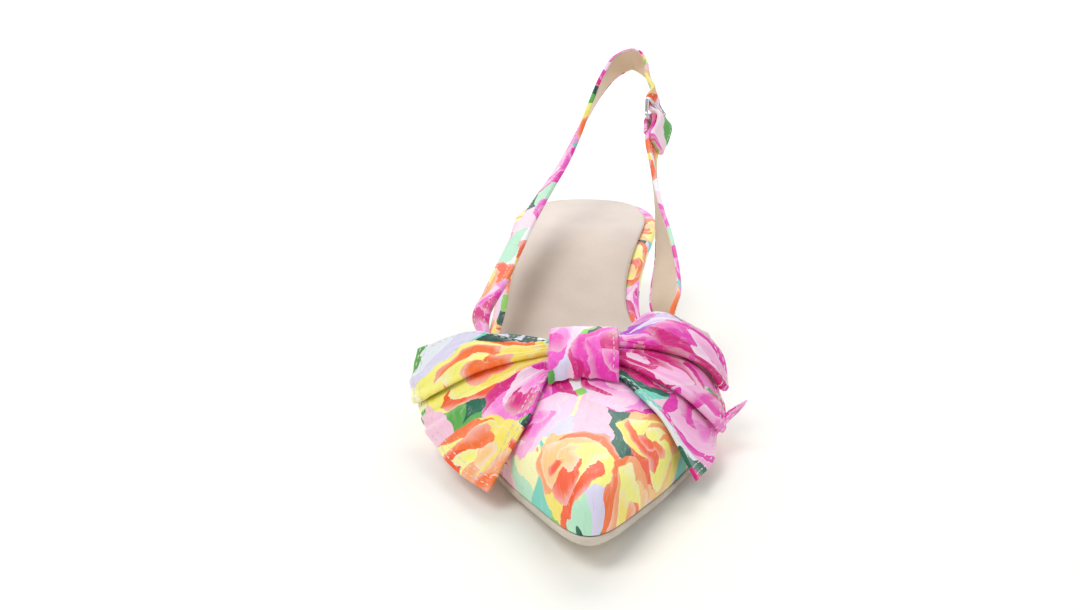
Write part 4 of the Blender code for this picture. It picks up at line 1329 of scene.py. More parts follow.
@dataclass
class Vamp:
    """The hollow vamp: its printed outside and its tan lining.

    Attributes:
        last: The form under it.
        wall: Thickness of the whole.
        cover: Thickness of the printed outside.
        rings: Rows from the toe to the throat.
        spokes: Columns from side to side.
        satin: The print on its outside.
        tan: Its lining.
    """

    last: Last
    wall: float = 1.6 * MM
    cover: float = 0.9 * MM
    rings: int = 96
    spokes: int = 112
    satin: PrintedSatin = PrintedSatin("printed_satin_vamp", (110.0, -270.0), 0.0)
    tan: TanLining = TanLining("tan_lining", (208, 182, 158))

    # Where the hollow starts, in walls from the tip; the slit between cover and lining
    HOLLOW_START = 2.1
    SLIT = 0.02 * MM
    # The topline's seam: its inset, and where it starts and ends, in radians from the sole
    SEAM_INSET = 1.6 * MM
    SEAM_START = 0.04

    def grid(self, first: float) -> tuple[np.ndarray, np.ndarray]:
        """Distances and angles of the vamp's rows.

        Args:
            first: Share of the vamp's length where the rows start.

        Returns:
            The distances and the angles.
        """
        share = np.linspace(0, 1, self.rings + 1)[:, None]
        share = first + (1 - first) * (share**1.7 * 0.55 + share * 0.45)
        angle = np.linspace(0, math.pi, self.spokes + 1)[None, :]
        distance = share * self.last.throat_at(angle)
        return distance, np.broadcast_to(angle, distance.shape)

    def layer(self, distance: np.ndarray, angle: np.ndarray, depth: float) -> np.ndarray:
        """Places at a depth under the vamp's outside, with the edges on the sole and the tip in one point.

        Args:
            distance: Distances from the toe tip.
            angle: Angles round the vamp.
            depth: How deep, in metres.

        Returns:
            The places.
        """
        places = self.last.surface(distance, angle) - depth * self.outward(distance, angle)
        floor = self.last.sole_top(places[:, :, 1] + self.last.heel_tip)
        places[:, 0, 2] = floor[:, 0]
        places[:, -1, 2] = floor[:, -1]
        return self.pointed(places)

    def outward(self, distance: np.ndarray, angle: np.ndarray) -> np.ndarray:
        """Outward directions, read a little behind the tip, where they are clear."""
        return self.last.normal(np.maximum(distance, 0.4 * MM), angle)

    @staticmethod
    def pointed(places: np.ndarray) -> np.ndarray:
        """The places with their first row drawn into one point."""
        places[0] = places[0].mean(axis=0)
        return places

    def cloth(self, places: np.ndarray) -> np.ndarray:
        """Cloth coordinates: the plan, with the sides folded out of it.

        Args:
            places: Places on the vamp.

        Returns:
            Their cloth coordinates, in metres.
        """
        distance = places[:, :, 1] + self.last.heel_tip
        drop = self.last.sole_top(distance) + self.last.ridge(distance) - places[:, :, 2]
        side = np.sign(places[:, :, 0] - self.last.middle(distance))
        return np.stack([places[:, :, 0] + side * np.maximum(drop, 0), distance], axis=-1) + CLOTH_START

    def build(self) -> None:
        """Makes and dresses the vamp, its lining and the stitching along its topline."""
        distance, angle = self.grid(0.0)
        outside = self.layer(distance, angle, 0.0)
        outside += self.pulls(distance, angle)[:, :, None] * self.outward(distance, angle)
        outside = self.pointed(outside)
        inner_distance, _ = self.grid(self.HOLLOW_START * self.wall / self.last.throat)
        cloth = self.cloth(outside)
        under = self.layer(inner_distance, angle, self.cover)
        piece = sheet_between("printed_vamp", outside, under, cloth, self.satin.material())
        dress(piece, "printed_fabric", "upper")
        face = self.layer(inner_distance, angle, self.cover + self.SLIT)
        back = self.layer(inner_distance, angle, self.wall)
        dress(sheet_between("tan_vamp_lining", face, back, cloth, self.tan.material()), "lining")
        turn = np.linspace(self.SEAM_START, math.pi - self.SEAM_START, 400)
        edge = self.last.throat_at(turn) - self.SEAM_INSET
        row = self.last.surface(edge, turn) + 0.10 * MM * self.last.normal(edge, turn)
        thread = Thread("topline_thread").material()
        dress(Stitching.sew("topline_stitches", [row], thread, *EVEN_STITCH), "printed_fabric")

    def pulls(self, distance: np.ndarray, angle: np.ndarray) -> np.ndarray:
        """Small pull marks in the lasted cloth, strongest by the sole's edge.

        Args:
            distance: Distances from the toe tip.
            angle: Angles round the vamp.

        Returns:
            How far the cloth stands out, in metres.
        """
        near_edge = 1 - ease(np.sin(angle), 0.0, 0.4)
        wave = ripple(distance * 160, 11) * near_edge * 0.12
        broad = ripple(distance * 45 + angle * 1.3, 12, 4) * 0.10
        inside = ease(distance, 0.004, 0.02) * ease(self.last.throat_at(angle) - distance, 0, 0.008)
        return (wave + broad) * MM * inside * ease(np.sin(angle), 0, 0.12)


@dataclass
class Sling:
    """The slingback: the long strap over the heel, the short strap with its sleeve, and the fastened buckle.

    Attributes:
        last: The form under it.
        width: The straps' width.
        base_width: Width where the short strap meets the vamp.
        thickness: Thickness of a strap.
        reach: Distance of the strap's furthest point.
        spread: Half of the room between its sides.
        height: Height of its top.
        buckle: Length, width and wire of the buckle's frame.
        tail: How far the long strap runs past the buckle.
        sleeve: How far the short strap is folded back.
        prong: Thickness of the buckle's prong.
        roots: Where the straps leave the vamp's edge, in degrees.
        slant: How far a strap follows the slant of that edge.
        steps: Rows along the whole sling.
        satin: The print on the straps.
        tan: Their lining.
    """

    last: Last
    width: float = 0.0090
    base_width: float = 0.0125
    thickness: float = 0.0018
    reach: float = 0.2540
    spread: float = 0.0331
    height: float = 0.0956
    buckle: tuple[float, float, float] = (0.0105, 0.0135, 0.0015)
    tail: float = 0.0150
    sleeve: float = 0.0060
    prong: float = 0.0011
    roots: tuple[float, float] = (29.0, 31.0)
    slant: float = 0.0160
    steps: int = 288
    satin: PrintedSatin = PrintedSatin("printed_satin_straps", (40.0, 62.0), 24.0, 0.5)
    tan: TanLining = TanLining("tan_strap_lining", (224, 197, 168))

    # Distance, sideways place and height as shares of the reach, the spread and the height,
    # lean in degrees, share of the base's extra width
    LINE = (
        (0.463, -0.990, 0.275, 56, 0.0),
        (0.512, -0.885, 0.335, 60, 0.0),
        (0.591, -0.766, 0.400, 60, 0.0),
        (0.669, -0.640, 0.466, 58, 0.0),
        (0.748, -0.477, 0.536, 54, 0.0),
        (0.815, -0.290, 0.612, 47, 0.0),
        (0.874, -0.121, 0.706, 36, 0.0),
        (0.925, 0.033, 0.811, 24, 0.0),
        (0.965, 0.196, 0.908, 14, 0.0),
        (0.992, 0.380, 0.976, 5, 0.0),
        (1.000, 0.577, 1.000, 2, 0.0),
        (0.984, 0.715, 0.969, 18, 0.0),
        (0.957, 0.780, 0.906, 26, 0.0),
        (0.929, 0.822, 0.847, 31, 0.0),
        (0.902, 0.832, 0.793, 33, 0.0),
        (0.870, 0.800, 0.732, 31, 0.0),
        (0.835, 0.765, 0.675, 24, 0.0),
        (0.799, 0.770, 0.620, 14, 0.0),
        (0.732, 0.795, 0.534, 4, 0.0),
        (0.681, 0.813, 0.471, -10, 0.1),
        (0.622, 0.831, 0.411, -28, 0.5),
        (0.551, 0.815, 0.350, -44, 1.0),
        (0.500, 0.800, 0.312, -44, 1.1),
    )
    BUCKLE_ROW = 14

    # Section of a strap, anticlockwise: share of its width, share of its thickness
    COVER = (
        (0.46, -0.50),
        (0.492, -0.40),
        (0.50, -0.12),
        (0.496, 0.20),
        (0.475, 0.42),
        (0.42, 0.52),
        (0.30, 0.56),
        (0.0, 0.58),
        (-0.30, 0.56),
        (-0.42, 0.52),
        (-0.475, 0.42),
        (-0.496, 0.20),
        (-0.50, -0.12),
        (-0.492, -0.40),
        (-0.46, -0.50),
        (-0.43, -0.48),
        (-0.43, -0.30),
        (0.0, -0.30),
        (0.43, -0.30),
        (0.43, -0.48),
    )
    LINING = (
        (0.425, -0.33),
        (-0.425, -0.33),
        (-0.425, -0.47),
        (-0.38, -0.52),
        (0.0, -0.53),
        (0.38, -0.52),
        (0.425, -0.47),
    )
    SEAM_INSET = 1.5 * MM
    # How far the straight stretch at the buckle fades out, in lengths of the buckle
    STRAIGHT_FADE = 1.6
    # The tail's point: its length, and the share of the width that it loses
    POINT = 3 * MM
    POINT_NARROWING = 0.22
    # Radius of the buckle's corners, in wires, and the steps round each
    CORNER = 1.4
    CORNER_STEPS = 8
    # Points round the buckle's wire
    ROUND = 16
    # Rows round the bar's fold
    WRAP_ROWS = 15
    # Share of the prong's length, share of its thickness
    PRONG = (
        (0.0, 0.15),
        (0.02, 0.5),
        (0.05, 0.75),
        (0.10, 0.92),
        (0.2, 1.0),
        (0.6, 1.0),
        (0.93, 1.0),
        (0.98, 0.8),
        (1.0, 0.4),
    )

    def __post_init__(self) -> None:
        """Works out the line once."""
        self.line, self.run, self.at_buckle = self.middle_line()
        self.along, across, self.out = self.frames()
        left, right = self.ends()
        across = self.slanted(across, self.run, left)
        self.across = self.slanted(across, self.run[-1] - self.run, right)
        self.bar = self.at_buckle + self.buckle[0] / 2

    def ends(self) -> tuple[tuple, tuple]:
        """The long strap's end on the left and the short strap's end on the right."""
        return self.root(self.roots[0], self.width, True), self.root(self.roots[1], self.base_width, False)

    def root(
        self,
        degrees: float,
        width: float,
        left: bool,
    ) -> tuple[np.ndarray, np.ndarray, np.ndarray, float]:
        """The end of a strap at the vamp's edge.

        Args:
            degrees: Where it is, up from the sole.
            width: The strap's width.
            left: Whether it is on the left.

        Returns:
            Its middle, the directions across and out, and its width along the edge.
        """
        turn = -1 if left else 1
        start = math.pi - math.radians(degrees) if left else math.radians(degrees)

        def edge(angle: float) -> np.ndarray:
            """A place just behind the vamp's edge, in the middle of its wall."""
            distance = self.last.throat_at(angle) + 2 * self.last.gap
            return self.last.surface(distance, angle) - 0.8 * MM * self.last.normal(distance, angle)

        small = 0.01
        speed = np.linalg.norm(edge(start + small) - edge(start - small)) / (2 * small)
        low = edge(start - turn * width / 2 / speed)
        high = edge(start + turn * width / 2 / speed)
        span = high - low
        out = self.last.normal(self.last.throat_at(start), start)
        return (low + high) / 2, span / np.linalg.norm(span), out, float(np.linalg.norm(span))

    def middle_line(self) -> tuple[np.ndarray, np.ndarray, float]:
        """The sling's middle line, straight where the buckle lies.

        Returns:
            Rows of place, lean and width, the length run to each, and the buckle's place in it.
        """
        left, right = self.ends()
        rows = [[*left[0], math.degrees(math.asin(left[2][2])), left[3]]]
        for station, across, height, lean, widened in self.LINE:
            point = self.last.place(across * self.spread, station * self.reach, height * self.height)
            rows.append([*point, lean, self.width + widened * (self.base_width - self.width)])
        buckle = np.array(rows[1 + self.BUCKLE_ROW][:3])
        rows.append([*right[0], math.degrees(math.asin(right[2][2])), right[3]])
        line, run = smooth_line(rows, self.steps + 1)
        nearest = int(np.argmin(np.linalg.norm(line[:, :3] - buckle, axis=1)))
        past = run - run[nearest]
        length = self.buckle[0]
        ends = np.searchsorted(past, [-length / 2, length / 2])
        slope = (line[ends[1]] - line[ends[0]]) / (run[ends[1]] - run[ends[0]])
        slope[3:] = 0
        straight = line[nearest] + past[:, None] * slope
        near = 1 - ease(np.abs(past), length, length * self.STRAIGHT_FADE)
        return line + (straight - line) * near[:, None], run, float(run[nearest])

    def frames(self) -> tuple[np.ndarray, np.ndarray, np.ndarray]:
        """Directions at each row of the middle line.

        Returns:
            The directions along, across and out.
        """
        along = unit(np.gradient(self.line[:, :3], axis=0))
        level = unit(np.cross([0, 0, 1], along))
        up = np.cross(along, level)
        lean = np.radians(self.line[:, 3])[:, None]
        return along, up * np.cos(lean) - level * np.sin(lean), level * np.cos(lean) + up * np.sin(lean)

    def slanted(self, across: np.ndarray, run: np.ndarray, root: tuple) -> np.ndarray:
        """The directions across, turned at a root to follow the vamp's edge.

        Args:
            across: Directions across.
            run: Length from the root.
            root: The strap's end.

        Returns:
            The turned directions.
        """
        near = 1 - ease(run, 0, self.slant)
        return unit(across + (root[1] - across) * near[:, None])

    def strap(
        self,
        name: str,
        node: str,
        centre: np.ndarray,
        across: np.ndarray,
        out: np.ndarray,
        width: np.ndarray,
        run: np.ndarray,
    ) -> None:
        """Makes and dresses one strap: its printed cover, its lining and its two rows of stitches.

        Args:
            name: First words of the pieces' names.
            node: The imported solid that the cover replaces.
            centre: Middle of each row.
            across: Direction across at each row.
            out: Direction out at each row.
            width: Width at each row.
            run: Length run to each row.
        """
        made = []
        parts = (("cover", self.COVER, self.cover_finish), ("lining", self.LINING, self.tan_finish))
        for part, section, finish in parts:
            shape = np.array(section)
            rings = centre[:, None, :] + across[:, None, :] * (shape[None, :, 0] * width[:, None])[:, :, None]
            rings = rings + out[:, None, :] * (shape[None, :, 1] * self.thickness)[:, :, None]
            around = run_of(rings[0])
            around = np.append(around, around[-1] + 0.4 * MM)
            cloth = np.stack(np.broadcast_arrays(around[None, :], run[:, None]), axis=-1) + CLOTH_START
            made.append(tube_through(f"{name}_{part}", rings, cloth, finish, sharp=60))
        rows = []
        for side in (-1, 1):
            inset = side * (width / 2 - self.SEAM_INSET)
            row = centre + across * inset[:, None] + out * (self.thickness * 0.545 + 0.04 * MM)
            rows.append(row[3:-3])
        cover, lining = made
        dress(cover, "printed_fabric", node)
        dress(lining, "lining")
        dress(Stitching.sew(f"{name}_stitches", rows, self.thread, *STRAP_STITCH), "printed_fabric")

    def build(self) -> None:
        """Makes and dresses the straps and the buckle."""
        self.cover_finish = self.satin.material()
        self.tan_finish = self.tan.material()
        self.thread = Thread("strap_thread").material()
        length, _, wire = self.buckle
        far_bar = self.at_buckle - length / 2
        under = -(wire + self.thickness) / 2 - self.last.gap
        over = wire / 2 + 3 * self.last.gap + 1.5 * self.thickness
        beyond = self.thickness + 2 * self.last.gap
        offset = under * ease(self.run, far_bar - length, far_bar)
        offset = offset + (over - under) * ease(self.run, far_bar, self.bar)
        offset = offset - (over - beyond) * ease(self.run, self.bar, self.bar + length)
        end = self.bar + self.tail
        chosen = np.flatnonzero(self.run <= end)
        run, out = self.run[chosen], self.out[chosen]
        width = self.line[chosen, 4] * (1 - self.POINT_NARROWING * ease(run, end - self.POINT, end) ** 2)
        centre = self.line[chosen, :3] + out * offset[chosen, None]
        self.strap("long_strap", "strap_long", centre, self.across[chosen], out, width, run)
        self.strap("short_strap", "strap_short", *self.short_rows())
        self.fasten()

    def short_rows(self) -> tuple[np.ndarray, ...]:
        """Rows of the short strap, from the fold under the bar, round the bar and down to the vamp.

        Returns:
            Middles, directions across and out, widths and the length run to each row.
        """
        wrap = (self.buckle[2] + self.thickness) / 2 + self.last.gap
        at = int(np.argmin(np.abs(self.run - self.bar)))
        chosen = np.flatnonzero(self.run > self.bar + self.last.gap)
        lifted = wrap * (1 - ease(self.run[chosen], self.bar, self.bar + self.buckle[0]))
        out, along, bar = self.out[at], self.along[at], self.line[at, :3]
        faces = [-out] * 3
        middles = [bar - out * wrap + along * self.sleeve * share for share in (1.0, 0.67, 0.33)]
        for angle in np.linspace(math.pi, 0, self.WRAP_ROWS):
            turned = out * math.cos(angle) - along * math.sin(angle)
            faces.append(turned)
            middles.append(bar + turned * wrap)
        count = len(middles)
        centre = np.concatenate([middles, self.line[chosen, :3] + self.out[chosen] * lifted[:, None]])
        side = np.concatenate([[self.across[at]] * count, self.across[chosen]])
        face = np.concatenate([faces, self.out[chosen]])
        width = np.concatenate([[self.line[at, 4]] * count, self.line[chosen, 4]])
        return centre, side, face, width, run_of(centre)

    def fasten(self) -> None:
        """Makes and dresses the buckle's frame and prong."""
        silver = Plating().material()
        length, breadth, wire = self.buckle
        at = int(np.argmin(np.abs(self.run - self.at_buckle)))
        centre, side, out, along = self.line[at, :3], self.across[at], self.out[at], self.along[at]
        radius = self.CORNER * wire
        path, outward = [], []
        for quarter, (turn_side, turn_run) in enumerate(((1, 1), (-1, 1), (-1, -1), (1, -1))):
            corner = side * turn_side * (breadth / 2 - radius) + along * turn_run * (length / 2 - radius)
            for step in range(self.CORNER_STEPS + 1):
                angle = (quarter + step / self.CORNER_STEPS) * math.pi / 2
                direction = side * math.cos(angle) + along * math.sin(angle)
                path.append(centre + corner + direction * radius)
                outward.append(direction)
        turn = np.linspace(0, 2 * math.pi, self.ROUND, endpoint=False)
        around = np.array(outward)[:, None, :] * np.cos(turn)[:, None] + out * np.sin(turn)[:, None]
        rings = np.array(path)[:, None, :] + around * wire / 2
        cloth = np.full((len(path), self.ROUND + 1, 2), CLOTH_START)
        whole = tube_through("silver_buckle_frame", rings, cloth, silver, closed=True)
        dress(whole, "silver", "buckle_frame")
        tip = centre - along * (length / 2 + wire) + out * (wire / 2 + self.last.gap + self.prong / 2)
        hole = centre + along * wire + out * (self.thickness + wire + 2 * self.last.gap + self.prong / 2)
        heading = unit(hole - tip)
        upright = np.cross(heading, side)
        share, size = np.array(self.PRONG).T[:, :, None]
        around = side * np.cos(turn)[:, None] + upright * np.sin(turn)[:, None]
        rings = (tip + (hole - tip) * share)[:, None, :] + around[None] * (size * self.prong / 2)[:, :, None]
        prong = tube_through("silver_buckle_prong", rings, cloth[: len(share)], silver)
        dress(prong, "silver", "buckle_prong")


class Side(Enum):
    """The bow's two wings."""

    LEFT = -1
    RIGHT = 1


@dataclass
class Bow:
    """The ribbon bow: two pleated wings of hemmed satin and the band that gathers them.

    Attributes:
        last: The form under it.
        overhang: How far the bow's reach passes the ball's half-width.
        span: Depth of a wing along the foot.
        rise: How far the crown stands over the throat.
        cloth: Thickness of the ribbon.
        hem: Width and extra thickness of its hems.
        clearance: Room over the vamp.
        layers: Spacing of the folds at the knot and at the hem.
        knot: Width, front, back, cloth and rise of the band.
        tuck: How far the wings run under the band.
        columns: Columns from the knot to the hem.
        cuts: Width, length and area of each wing's flat cut; not used.
        satins: The print on the wings and the band.
    """

    last: Last
    overhang: float = 0.0147
    span: float = 0.0480
    rise: float = 0.0040
    cloth: float = 0.0006
    hem: tuple[float, float] = (0.0046, 0.00022)
    clearance: float = 0.0007
    layers: tuple[float, float] = (0.0008, 0.0017)
    knot: tuple[float, float, float, float, float] = (0.0194, 0.0175, 0.0036, 0.0010, 0.0052)
    tuck: float = 0.0040
    columns: int = 60
    cuts: tuple[tuple[float, float, float], ...] = ((0.0943, 0.0504, 0.00268), (0.1189, 0.0514, 0.00268))
    satins: tuple[PrintedSatin, PrintedSatin, PrintedSatin] = (
        PrintedSatin("printed_satin_left_wing", (242.6, -175.1), 65.0),
        PrintedSatin("printed_satin_right_wing", (-27.7, 40.8), -35.0),
        PrintedSatin("printed_satin_knot", (-100.7, -132.3), 10.0),
    )

    # Where the knot's end, the knot, halfway and the hem lie along a wing
    PLACES = (0.0, 0.24, 0.60, 1.00)
    # Width of the flat ribbon in spans, its length in reaches, and its width at the knot as a share
    RIBBON = (1.5, 0.86, 0.42)
    # Rows that the wing's upward directions are read from
    EVEN_ROWS = 60
    # Step along the folds, and how many steps their turns are rounded over
    FOLD_STEP = 0.42 * MM
    ROUNDING = 4
    # The standing corner: its row, how wide it is, and how far it goes out, behind and up
    CORNER_ROW = 0.615
    CORNER_WIDTH = 0.022
    CORNER_REACH = (9.0 * MM, 2.5 * MM, 8.0 * MM)
    # Insets of the rows of stitches from the front edge and the hem, and from the back edge
    SEAMS = (1.3 * MM, 3.3 * MM)
    BACK_SEAM = 1.3 * MM
    # How far a stitch's middle stands over the cloth
    PROUD = 0.05 * MM
    # Grid of the band, how far its front edge arches back, and how rough that edge is
    BAND_GRID = (41, 97)
    BAND_ARCH = 1.6 * MM
    BAND_ROUGHNESS = 0.35 * MM
    BAND_SEAM = 1.5 * MM
    # Share of the width, then the places at the knot, halfway and at the hem: out, behind, height
    LEFT_ROWS = (
        (0.00, (0.206, -0.010, 0.815), (0.569, 0.167, 0.850), (0.940, 0.323, 0.645)),
        (0.20, (0.204, -0.070, 0.812), (0.569, 0.021, 0.775), (0.962, 0.188, 0.420)),
        (0.36, (0.202, -0.118, 0.808), (0.535, -0.115, 0.690), (0.935, 0.000, 0.292)),
        (0.58, (0.198, -0.190, 0.792), (0.520, -0.323, 0.613), (0.857, -0.260, 0.214)),
        (0.80, (0.190, -0.258, 0.765), (0.422, -0.563, 0.583), (0.667, -0.688, 0.155)),
        (1.00, (0.180, -0.318, 0.750), (0.286, -0.708, 0.583), (0.467, -1.000, 0.158)),
    )
    RIGHT_ROWS = (
        (0.00, (0.206, -0.020, 0.815), (0.345, 0.167, 0.965), (0.650, 0.323, 0.800)),
        (0.16, (0.204, -0.065, 0.812), (0.400, 0.063, 0.905), (0.715, 0.260, 0.590)),
        (0.32, (0.202, -0.112, 0.808), (0.450, -0.042, 0.765), (0.735, 0.125, 0.350)),
        (0.50, (0.198, -0.165, 0.800), (0.480, -0.208, 0.690), (0.745, -0.031, 0.285)),
        (0.66, (0.194, -0.215, 0.790), (0.465, -0.344, 0.645), (0.740, -0.188, 0.190)),
        (0.84, (0.188, -0.270, 0.768), (0.415, -0.531, 0.590), (0.675, -0.542, 0.137)),
        (1.00, (0.180, -0.318, 0.750), (0.363, -0.573, 0.649), (0.567, -0.833, 0.176)),
    )
    # Share of the width, layer
    LEFT_FOLDS = (
        (0.000, 2.0),
        (0.350, 2.0),
        (0.366, 1.5),
        (0.350, 1.0),
        (0.246, 1.0),
        (0.230, 0.5),
        (0.246, 0.0),
        (0.540, 0.1),
        (0.580, 0.9),
        (0.612, 0.8),
        (0.640, 0.0),
        (1.000, 0.2),
    )
    RIGHT_FOLDS = (
        (0.000, 4.0),
        (0.310, 4.0),
        (0.332, 3.5),
        (0.310, 3.0),
        (0.216, 3.0),
        (0.194, 2.5),
        (0.216, 2.0),
        (0.650, 2.0),
        (0.670, 1.5),
        (0.650, 1.0),
        (0.556, 1.0),
        (0.536, 0.5),
        (0.556, 0.0),
        (1.000, 0.2),
    )
    # Share of the band's length, share of its rise
    BAND = (
        (0.00, 0.10),
        (0.03, 0.55),
        (0.10, 0.92),
        (0.25, 1.00),
        (0.50, 1.04),
        (0.75, 1.00),
        (0.90, 0.86),
        (0.97, 0.52),
        (1.00, 0.10),
    )

    @property
    def reach(self) -> float:
        """How far out the hems may lie."""
        return self.last.widths[0] / 2 + self.overhang

    def folded(self, folds: Sequence[tuple[float, float]]) -> tuple[np.ndarray, np.ndarray]:
        """The folded ribbon's rows, with its turns rounded.

        Args:
            folds: Rows of share of the width and layer.

        Returns:
            Shares of the width, and layers.
        """
        size = np.array([self.RIBBON[0] * self.span, self.layers[1]])
        path = np.array(folds) * size
        run = run_of(path)
        fine = np.linspace(0, run[-1], int(run[-1] / self.FOLD_STEP))
        rows = np.stack([np.interp(fine, run, path[:, k]) for k in range(2)], axis=1)
        reach = self.ROUNDING
        weight = np.exp(-((np.arange(-reach, reach + 1) / 1.3) ** 2))
        weight /= weight.sum()
        padded = np.pad(rows, ((reach, reach), (0, 0)), mode="edge")
        smooth = np.stack([np.convolve(padded[:, k], weight, mode="valid") for k in range(2)], axis=1)
        smooth[0], smooth[-1] = rows[0], rows[-1]
        return smooth[:, 0] / size[0], smooth[:, 1] / size[1]

    def flat(self, rows: Sequence, shares: np.ndarray, turn: int, along: np.ndarray) -> np.ndarray:
        """Places where a wing's cloth would lie without its folds, in distances from the toe tip.

        Args:
            rows: The wing's table of places.
            shares: Shares of the width that are wanted.
            turn: -1 for the left wing, 1 for the right.
            along: Shares of the way from the knot to the hem.

        Returns:
            The places, rows by columns.
        """
        crown = float(self.last.sole_top(self.last.throat)) + self.last.vamp_height + self.rise
        at = [row[0] for row in rows]
        places = []
        for k in range(1, 4):
            out = monotone(at, [row[k][0] * self.reach for row in rows], shares)
            behind = monotone(at, [self.last.throat + row[k][1] * self.span for row in rows], shares)
            height = monotone(at, [row[k][2] * crown for row in rows], shares)
            places.append(np.stack([turn * out, behind, height], axis=-1))
        root = places[0].copy()
        root[:, 0] = turn * (self.knot[0] / 2 - self.tuck)
        stack = np.stack([root, *places], axis=1)
        lines = [[monotone(self.PLACES, row[:, k], along) for k in range(3)] for row in stack]
        return np.array(lines).transpose(0, 2, 1)

    def wing(self, side: Side) -> tuple[np.ndarray, np.ndarray]:
        """A wing's folded cloth.

        Args:
            side: Which wing.

        Returns:
            Its middle surface, and the cloth coordinates.
        """
        turn = side.value
        rows = self.LEFT_ROWS if side is Side.LEFT else self.RIGHT_ROWS
        shares, layers = self.folded(self.LEFT_FOLDS if side is Side.LEFT else self.RIGHT_FOLDS)
        along = np.linspace(0, 1, self.columns + 1)
        grid = self.flat(rows, shares, turn, along)
        last = self.EVEN_ROWS - 1
        up = upwards(normals_of(self.flat(rows, np.linspace(0, 1, self.EVEN_ROWS), turn, along)))
        up = up[np.clip((shares * last).round().astype(int), 0, last)]
        if side is Side.RIGHT:
            grid += self.flick(shares, layers, along)
        spacing = self.layers[0] + (self.layers[1] - self.layers[0]) * along
        lowest = self.last.top(grid[:, :, 0], grid[:, :, 1]) + self.clearance
        grid[:, :, 2] = np.maximum(grid[:, :, 2], lowest)
        lift = layers[:, None] * spacing[None, :] + self.creases(shares, along, turn)
        grid = grid + up * lift[:, :, None]
        width, length, narrow = self.RIBBON
        across = (shares[:, None] - 0.5) * width * self.span * (narrow + (1 - narrow) * along[None, :])
        out = along[None, :] * length * self.reach
        cloth = np.stack(np.broadcast_arrays(across, out), axis=-1) + CLOTH_START
        grid[:, :, 1] -= self.last.heel_tip
        return grid, cloth

    def creases(self, shares: np.ndarray, along: np.ndarray, turn: int) -> np.ndarray:
        """Gathers that leave the knot and soft waves at the hem.

        Args:
            shares: Shares of the width.
            along: Shares of the way from the knot to the hem.
            turn: -1 for the left wing, 1 for the right.

        Returns:
            How far the cloth stands out, in metres.
        """
        seed = 40 + turn
        width, out = shares[:, None], along[None, :]
        fine = ripple(width * 15, seed) * (1 - out) ** 1.3 * ease(out, 0.1, 0.3) * 0.42
        bend = ripple(width * 5 + out * 0.8, seed + 7, 4) * ease(out, 0.15, 0.6) * 0.30
        hem = ripple(width * 6, seed + 13, 3) * out**5 * 0.35
        return (fine + bend + hem) * MM

    def flick(self, shares: np.ndarray, layers: np.ndarray, along: np.ndarray) -> np.ndarray:
        """The corner of the right wing's under layer that stands out past the hem.

        Args:
            shares: Shares of the width.
            layers: Layer of each row; only the lowest has the corner.
            along: Shares of the way from the knot to the hem.

        Returns:
            How far each place is drawn out.
        """
        near = np.exp(-(((shares - self.CORNER_ROW) / self.CORNER_WIDTH) ** 2)) * (layers < 0.4)
        out = near[:, None] * (ease(along, 0.86, 1.0) ** 1.4)[None, :]
        up = near[:, None] * (ease(along, 0.93, 1.0) ** 1.2)[None, :]
        return np.stack([out, out, up], axis=-1) * self.CORNER_REACH

    def thickness(self, grid: np.ndarray) -> np.ndarray:
        """Half the cloth's thickness, more where the hems are turned in.

        Args:
            grid: The cloth's middle surface.

        Returns:
            Half the thickness at each of its places.
        """
        width, extra = self.hem
        across, along = run_of(grid), run_of(grid, 1)
        from_edge = np.minimum(np.minimum(across, across[-1:] - across), along[:, -1:] - along)
        turned = 1 - ease(from_edge, width - 0.5 * MM, width)
        rounded = 0.55 + 0.45 * ease(from_edge, -0.1 * MM, 0.35 * MM)
        return (self.cloth / 2 + extra * turned) * rounded

    def inset(self, grid: np.ndarray, amount: float, edge: str) -> np.ndarray:
        """The path that keeps an inset from one edge of a grid.

        Args:
            grid: The cloth's surface.
            amount: The inset, in metres.
            edge: "front", "back" or "hem".

        Returns:
            The path's places.
        """
        turned = {"front": grid[::-1], "back": grid, "hem": grid.transpose(1, 0, 2)[::-1]}[edge]
        run = run_of(turned)
        columns = range(turned.shape[1])
        return np.array([[np.interp(amount, run[:, j], turned[:, j, k]) for k in range(3)] for j in columns])

    def build(self) -> None:
        """Makes and dresses the wings, the band and their stitching."""
        thread = Thread("bow_thread").material()
        for side, satin, cut in zip(Side, self.satins, self.cuts):
            grid, cloth = self.wing(side)
            square = normals_of(grid)
            if square[:4, :, 2].mean() < 0:
                square = -square
            half = self.thickness(grid)[:, :, None]
            top, bottom = grid + square * half, grid - square * half
            name = side.name.lower()
            piece = sheet_between(f"bow_{name}_wing", top, bottom, cloth, satin.material(), sharp=70)
            dress(piece, "printed_fabric", f"bow_wing_{name}")
            self.declare(piece, grid)
            face = top + square * self.PROUD
            rows = [self.inset(face, amount, "front")[14:-7] for amount in self.SEAMS]
            rows += [self.inset(face, amount, "hem")[3:-3] for amount in self.SEAMS]
            rows.append(self.inset(face, self.BACK_SEAM, "back")[14:-7])
            dress(Stitching.sew(f"bow_{name}_stitches", rows, thread, *WING_STITCH), "printed_fabric")
        self.band(thread)

    def declare(self, piece: bpy.types.Object, grid: np.ndarray) -> None:
        """Logs the measured hem, depth and area of a wing's folded cloth.

        Args:
            piece: The wing.
            grid: Its cloth's middle surface, whose size is logged.
        """
        across, along = np.diff(grid, axis=0)[:, :-1], np.diff(grid, axis=1)[:-1]
        area = float(np.linalg.norm(np.cross(across, along), axis=2).sum())
        hem = float(np.linalg.norm(np.diff(grid[:, -1], axis=0), axis=1).sum())
        deep = float(np.linalg.norm(np.diff(grid, axis=1), axis=2).sum(axis=1).max())
        log.info("%s: measured hem %.4f, depth %.4f, area %.6f", piece.name, hem, deep, area)

